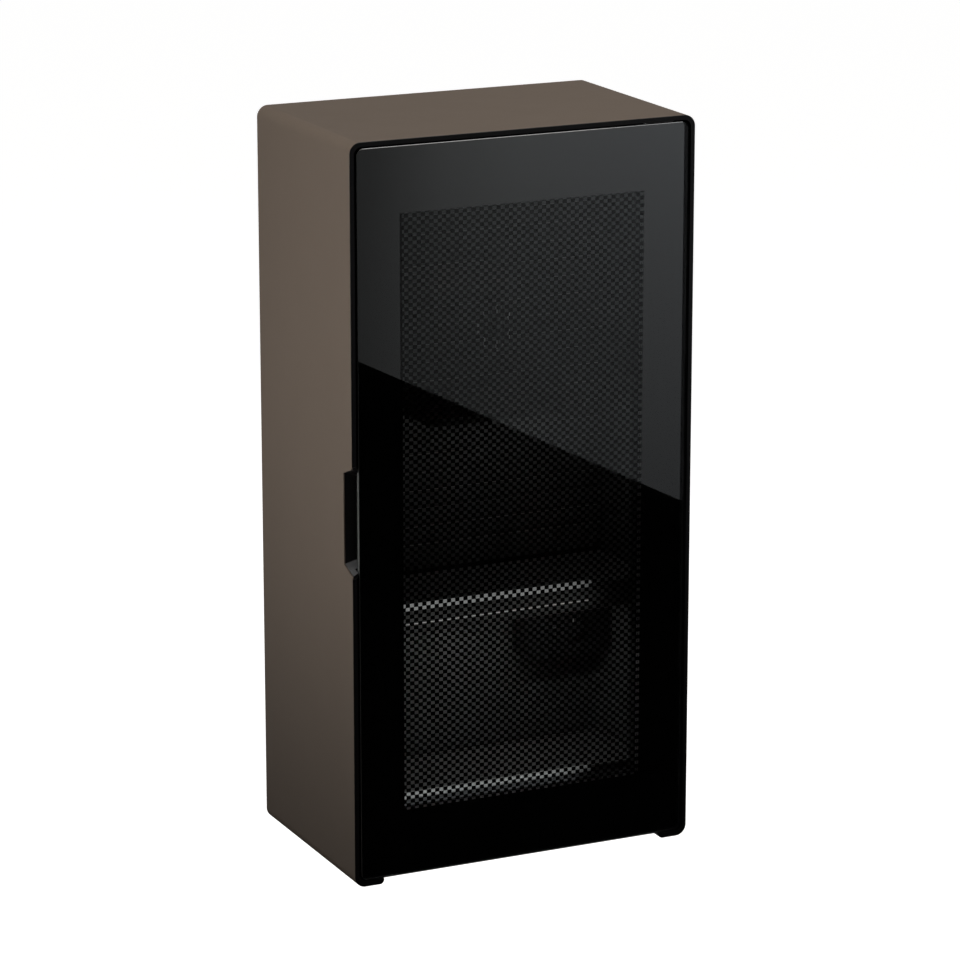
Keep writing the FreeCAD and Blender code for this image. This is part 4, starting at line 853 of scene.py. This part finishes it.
@dataclass
class GlassArris:
    """The polished bevel round the front glass's face, as a thin band on the CAD glass's own bevel."""

    workshop: Workshop
    width: float = 0.4 * MM
    lift: float = 0.03 * MM
    radius: float = GLASS_CORNER

    def build(self) -> None:
        """Makes the band between the face's outline and the side's outline."""
        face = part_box("outer_glass")[0].y
        mesh = bmesh.new()
        edges = rounded_loop(mesh, "outer_glass", self.radius, self.width - self.lift, face - self.lift)
        edges += rounded_loop(mesh, "outer_glass", self.radius, -self.lift, face + self.width - self.lift)
        bridge(mesh, edges)
        self.workshop.piece("glass_arris", mesh, Body.DOOR, ARRIS, Slot.SPACER, smooth=True)


@dataclass
class GroundEdge:
    """The front glass's ground side faces: dark all round, and polished paler where the grip bares them."""

    workshop: Workshop
    radius: float = GLASS_CORNER
    sink: float = 0.03 * MM
    bevel: float = 0.45 * MM
    bulge: float = 0.12 * MM
    grip_margin: float = 2.6 * MM
    strip_share: float = 0.7
    steps: int = 6

    def build(self) -> None:
        """Makes the dark band inside the side faces, then the grip's strip on the left one."""
        low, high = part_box("outer_glass")
        front, rear = low.y + self.bevel, high.y - self.sink
        mesh = bmesh.new()
        edges = rounded_loop(mesh, "outer_glass", self.radius, self.sink, front)
        edges += rounded_loop(mesh, "outer_glass", self.radius, self.sink, rear)
        bridge(mesh, edges)
        self.workshop.piece("glass_side_band", mesh, Body.DOOR, EDGE, Slot.PRINT, smooth=True)
        self._grip_strip(low.x, front, rear)

    def _grip_strip(self, x: float, front: float, rear: float) -> None:
        """Makes the rounded strip where fingers take the door.

        Args:
            x: the glass's left side.
            front: the strip's front edge.
            rear: its rear edge.
        """
        low_z, high_z = (corner.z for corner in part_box("grip_scoop"))
        mesh = bmesh.new()
        verts = []
        depth = (rear - front) * self.strip_share
        for step in range(self.steps + 1):
            share = step / self.steps
            bow = self.bulge * math.sin(math.pi * share)
            verts.append(mesh.verts.new((x - bow, front + depth * share, low_z + self.grip_margin)))
        edges = [mesh.edges.new(pair) for pair in zip(verts, verts[1:])]
        grown = bmesh.ops.extrude_edge_only(mesh, edges=edges)["geom"]
        rise = Vector((0.0, 0.0, high_z - low_z - 2 * self.grip_margin))
        top = [item for item in grown if isinstance(item, bmesh.types.BMVert)]
        bmesh.ops.translate(mesh, vec=rise, verts=top)
        bmesh.ops.recalc_face_normals(mesh, faces=mesh.faces[:])
        self.workshop.piece("grip_glass_edge", mesh, Body.DOOR, GRIP_EDGE, Slot.SPACER, smooth=True)


@dataclass
class ShelfRibs:
    """Raised anti-slip ribs on the shelves, each shelf with its own plain strip at the front."""

    workshop: Workshop
    pitch: float = 7.0 * MM
    width: float = 1.2 * MM
    rise: float = 0.5 * MM
    bevel: float = 0.25 * MM
    margin: float = 15.0 * MM
    sink: float = 0.1 * MM
    plain_strips: tuple[tuple[str, float], ...] = (("upper_shelf", 20 * MM), ("middle_shelf", 20 * MM),
                                                   ("main_shelf", 16 * MM))

    def build_on(self, node: str, strip: float) -> None:
        """Makes one shelf's ribs, which run from side to side.

        Args:
            node: the shelf's CAD piece.
            strip: how far behind the front edge the first rib lies.
        """
        low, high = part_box(node)
        mesh = bmesh.new()
        count = int((high.y - low.y - strip - self.margin) / self.pitch)
        for index in range(count):
            y = low.y + strip + index * self.pitch
            add_bar(mesh, (low.x + self.margin, y, high.z - self.sink),
                    (high.x - self.margin, y + self.width, high.z + self.rise), self.bevel)
        self.workshop.piece(f"{node}_ribs", mesh, Body.CABINET, SHELF, Slot.SHELF)

    def build(self) -> None:
        """Makes the ribs of every shelf."""
        for node, strip in self.plain_strips:
            self.build_on(node, strip)


@dataclass
class DialMarks:
    """Raised tick marks round the thermostat's knob, and the pale inlay in the knob's pointer groove."""

    workshop: Workshop
    ticks: int = 11
    sweep: float = 270.0
    length: float = 3.2 * MM
    width: float = 0.9 * MM
    rise: float = 0.4 * MM
    root: float = 0.05 * MM
    rim_gap: float = 3.0 * MM
    knob_gap: float = 0.3 * MM
    end_ticks: float = 1.6
    inlay: float = 1.3 * MM
    sink: float = 0.1 * MM
    inlay_span: tuple[float, float] = (0.37, 0.86)

    def build(self) -> None:
        """Makes the ticks, which start above the knob where its pointer rests, and the inlay."""
        low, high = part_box("thermostat_knob")
        centre = (low + high) / 2
        rim = (high.x - low.x) / 2
        radius = rim + self.rim_gap
        face = high.y + self.knob_gap
        mesh = bmesh.new()
        for index in range(self.ticks):
            angle = math.radians(self.sweep * index / (self.ticks - 1))
            turn = Matrix.Translation(Vector((centre.x, 0, centre.z))) @ Matrix.Rotation(angle, 4, "Y")
            long = self.length * (self.end_ticks if index in (0, self.ticks - 1) else 1.0)
            add_bar(mesh, (-self.width / 2, face - self.rise, radius),
                    (self.width / 2, face + self.root, radius + long), turn=turn)
        self.workshop.piece("dial_marks", mesh, Body.CABINET, SHELF, Slot.SHELF)
        mesh = bmesh.new()
        half, y = self.inlay / 2, low.y + self.sink
        start, end = (centre.z + rim * share for share in self.inlay_span)
        add_bar(mesh, (centre.x - half, y, start), (centre.x + half, y + half, end))
        self.workshop.piece("knob_pointer", mesh, Body.DIAL, MARK, Slot.DARK)


@dataclass(frozen=True)
class Lamp:
    """One soft rectangular light."""

    name: str
    place: Point
    aim: Point
    width: float
    height: float
    power: float
    colour: Colour = WHITE
    reflected: bool = True
    spread: float = 180.0

    def build(self) -> None:
        """Adds the light to the scene."""
        data = bpy.data.lights.new(self.name, "AREA")
        data.shape = "RECTANGLE"
        data.size = self.width
        data.size_y = self.height
        data.energy = self.power
        data.color = self.colour
        data.spread = math.radians(self.spread)
        made = add_object(self.name, data)
        made.location = self.place
        made.rotation_euler = (Vector(self.aim) - Vector(self.place)).to_track_quat("-Z", "Y").to_euler()
        made.visible_camera = False
        made.visible_glossy = self.reflected
        made.visible_transmission = False


LAMPS = (
    Lamp("side_key", (-2.0, -0.32, 0.29), (-0.2, -0.32, 0.29), 1.0, 1.40, 4.65, (1.0, 0.96, 0.92),
         spread=30.0),
    Lamp("top", (0.2, -0.1, 2.2), (0.1, -0.1, 0.0), 2.2, 2.0, 52.0, (1.0, 0.93, 0.87)),
    Lamp("back", (1.6, 2.6, 1.2), (0.0, 0.0, -0.2), 1.8, 1.8, 30.0, reflected=False),
    Lamp("fill", (2.6, -1.8, 0.9), (0.0, -0.1, -0.2), 1.6, 1.6, 12.0, reflected=False),
    Lamp("front", (-0.6, -3.5, 0.6), (0.0, -0.2, -0.2), 1.6, 1.6, 11.0, reflected=False),
    Lamp("upper_space", (0.0, -0.225, 0.135), (0.0, -0.12, -0.15), 0.28, 0.012, 0.05,
         BAR_LIGHT, reflected=False),
    Lamp("middle_space", (0.03, -0.225, -0.160), (0.03, -0.12, -0.30), 0.20, 0.012, 0.055,
         BAR_LIGHT, reflected=False),
    Lamp("under_shelf", (-0.015, -0.205, -0.385), (-0.01, -0.12, -0.55), 0.23, 0.012, 0.20,
         BAR_LIGHT, reflected=False),
    Lamp("before_shelf", (-0.0325, -0.236, -0.366), (-0.0325, -0.219, -0.366), 0.265, 0.012, 0.0145,
         BAR_LIGHT, reflected=False),
    Lamp("over_floor", (-0.045, -0.240, -0.556), (-0.045, -0.221, -0.572), 0.24, 0.010, 0.038,
         (0.98, 0.99, 1.0), reflected=False),
)


@dataclass
class Studio:
    """Pale floor, white surround, soft lamps, reflection cards and the camera."""

    floor_height: float = -1.15
    floor_size: float = 30.0
    floor_colour: Colour = (0.40, 0.39, 0.38)
    floor_lift: float = 0.965
    surround: Colour = (1.0, 0.96, 0.92)
    surround_light: float = 0.07
    focal_pixels: float = 4164.1
    frame_pixels: float = 960.0
    sensor: float = 36.0
    clip: tuple[float, float] = (0.1, 100.0)
    eye: Point = (-1.87, -4.1077, 0.935)
    yaw: float = 25.294
    pitch: float = -14.994
    card_lift: float = 0.05
    card_run: tuple[float, float] = (0.900, 0.435)
    card_far: float = -6.4
    card_fall: float = 0.168

    def camera(self) -> None:
        """Places the camera at the photograph's angle, without shift."""
        data = bpy.data.cameras.new("camera")
        data.sensor_width = self.sensor
        data.lens = self.focal_pixels / self.frame_pixels * self.sensor
        data.clip_start, data.clip_end = self.clip
        made = add_object("camera", data)
        yaw, pitch = math.radians(self.yaw), math.radians(self.pitch)
        ahead = Vector((math.sin(yaw) * math.cos(pitch), math.cos(yaw) * math.cos(pitch), math.sin(pitch)))
        made.location = self.eye
        made.rotation_mode = "QUATERNION"
        made.rotation_quaternion = ahead.to_track_quat("-Z", "Y")
        bpy.context.scene.camera = made

    @staticmethod
    def _seen(graph: Graph) -> Wire:
        """Tells what the camera sees, straight or through clear glass.

        Args:
            graph: the node tree that gets the nodes.

        Returns:
            1 for such rays, otherwise 0.
        """
        rays = "ShaderNodeLightPath"
        bounced = graph.node(rays, out="Diffuse Depth") + graph.node(rays, out="Glossy Depth")
        through = graph.node(rays, out="Is Transmission Ray") * (bounced < 0.5)
        return graph.node("ShaderNodeMath", {"operation": "MAXIMUM"},
                          {0: graph.node(rays, out="Is Camera Ray"), 1: through})

    def world(self) -> None:
        """White where the camera or clear glass looks past the object, a soft grey surround as light."""
        scene = bpy.context.scene
        scene.world = bpy.data.worlds.new("surround")
        scene.world.use_nodes = True
        graph = Graph(scene.world.node_tree)
        light = graph.node("ShaderNodeBackground", {},
                           {"Color": shade(self.surround), "Strength": self.surround_light})
        white = graph.node("ShaderNodeBackground", {}, {"Color": shade(WHITE), "Strength": 1.0})
        both = graph.node("ShaderNodeMixShader", {}, {0: self._seen(graph), 1: light, 2: white})
        graph.node("ShaderNodeOutputWorld", {}, {"Surface": both})

    def _sheet(self, name: str, corners: list[Point]) -> bpy.types.Object:
        """Makes one flat stage sheet.

        Args:
            name: its name.
            corners: its corners in order.

        Returns:
            The sheet.
        """
        mesh = bmesh.new()
        mesh.faces.new([mesh.verts.new(corner) for corner in corners])
        data = bpy.data.meshes.new(name)
        mesh.to_mesh(data)
        mesh.free()
        made = add_object(name, data)
        return made

    def floor(self) -> None:
        """Pale floor that the camera sees as white, apart from the object's soft shadow."""
        half, z = self.floor_size / 2, self.floor_height
        made = self._sheet("floor", [(-half, -half, z), (half, -half, z), (half, half, z), (-half, half, z)])
        material, graph = new_material("pale_floor")
        matt = graph.node("ShaderNodeBsdfDiffuse", {}, {"Color": shade(self.floor_colour)})
        lift = graph.node("ShaderNodeEmission", {}, {"Color": shade(WHITE), "Strength": self.floor_lift})
        shown = graph.node("ShaderNodeAddShader", {}, {0: matt, 1: lift})
        both = graph.node("ShaderNodeMixShader", {}, {0: self._seen(graph), 1: matt, 2: shown})
        graph.node("ShaderNodeOutputMaterial", {}, {"Surface": both})
        made.data.materials.append(material)

    def _card_look(self, made: bpy.types.Object, stops: list[tuple[float, Colour]], start: float, span: float,
                   strength: float = 1.0, fall: float = 0.0) -> None:
        """Gives a card a graded glow that only mirrors see.

        Args:
            made: the card.
            stops: the ramp from its start to its end.
            start: where the ramp starts, along the cards' slanting run.
            span: the ramp's length.
            strength: the glow's strength at the far end.
            fall: how much it weakens with each metre nearer.
        """
        material, graph = new_material(made.name)
        run = graph.axis_value("X") * self.card_run[0] + graph.axis_value("Y") * self.card_run[1]
        ramp = graph.node("ShaderNodeValToRGB", {"stops": stops}, {0: (run - start) / span})
        nearer = graph.axis_value("Y") - self.card_far
        power = (1.0 - nearer * fall) * strength
        glow = graph.node("ShaderNodeEmission", {}, {"Color": ramp, "Strength": power})
        clear = graph.node("ShaderNodeBsdfTransparent")
        mirrored = graph.node("ShaderNodeLightPath", out="Glossy Depth") > 0.5
        both = graph.node("ShaderNodeMixShader", {}, {0: mirrored, 1: clear, 2: glow})
        graph.node("ShaderNodeOutputMaterial", {}, {"Surface": both})
        made.data.materials.append(material)
        made.visible_camera = made.visible_diffuse = made.visible_shadow = False
        made.visible_volume_scatter = False

    def cards(self) -> None:
        """A dark and a graded pale card low down, and two bright ones, which the glass and edges mirror."""
        z = self.floor_height + self.card_lift
        seam = [(x, y, z) for x, y in ((1.836, -0.45), (1.651, -2.983), (1.557, -4.27), (1.21, -9.0))]
        dark = self._sheet("dark_card", [(-0.6, 1.5, z), (-0.6, -9.0, z), *reversed(seam), (1.836, 1.5, z)])
        self._card_look(dark, [(0.0, (0.0, 0.0, 0.0)), (1.0, (0.002, 0.002, 0.002))], -1.0, 2.0)
        pale = self._sheet("pale_card", [*seam, (9.0, -12.0, z), (9.0, -0.45, z)])
        stops = [(0.0, (0.15, 0.15, 0.15)), (0.106, (0.195, 0.197, 0.198)), (0.295, (0.37, 0.375, 0.38)),
                 (0.49, (0.465, 0.475, 0.485)), (0.72, (0.50, 0.51, 0.53)), (1.0, (0.54, 0.56, 0.59))]
        self._card_look(pale, stops, -0.6, 1.0, fall=self.card_fall)
        edge = self._sheet("edge_card", [(2.2, 0.2, -1.0), (2.2, 1.2, -1.0), (2.2, 1.2, 1.4),
                                         (2.2, 0.2, 1.4)])
        self._card_look(edge, [(0.0, (0.5, 0.5, 0.52)), (1.0, (0.9, 0.9, 0.92))], 1.9, 1.4, strength=7.0)
        above = self._sheet("above_card", [(0.5, -1.4, 2.6), (0.5, -0.55, 2.6), (1.8, -0.55, 2.6),
                                           (1.8, -1.4, 2.6)])
        self._card_look(above, [(0.0, (0.9, 0.9, 0.92)), (1.0, WHITE)], 0.0, 1.0, strength=8.0)

    def lamps(self) -> None:
        """Soft lamps round the object and the lamps inside the cabinet."""
        for lamp in LAMPS:
            lamp.build()

    def build(self) -> None:
        """Makes the whole studio."""
        bpy.context.scene.view_settings.view_transform = "Standard"
        self.camera()
        self.world()
        self.floor()
        self.cards()
        self.lamps()


def main() -> None:
    """Builds the classes in order."""
    logging.basicConfig(level=logging.INFO, format="%(message)s")
    paint = Paintshop()
    paint.dress_cad()
    workshop = Workshop(paint)
    PrintedWindow(workshop).build()
    PrintedBorder(workshop).build()
    GlassArris(workshop).build()
    GroundEdge(workshop).build()
    ShelfRibs(workshop).build()
    DialMarks(workshop).build()
    Studio().build()


if __name__ == "__main__":
    main()
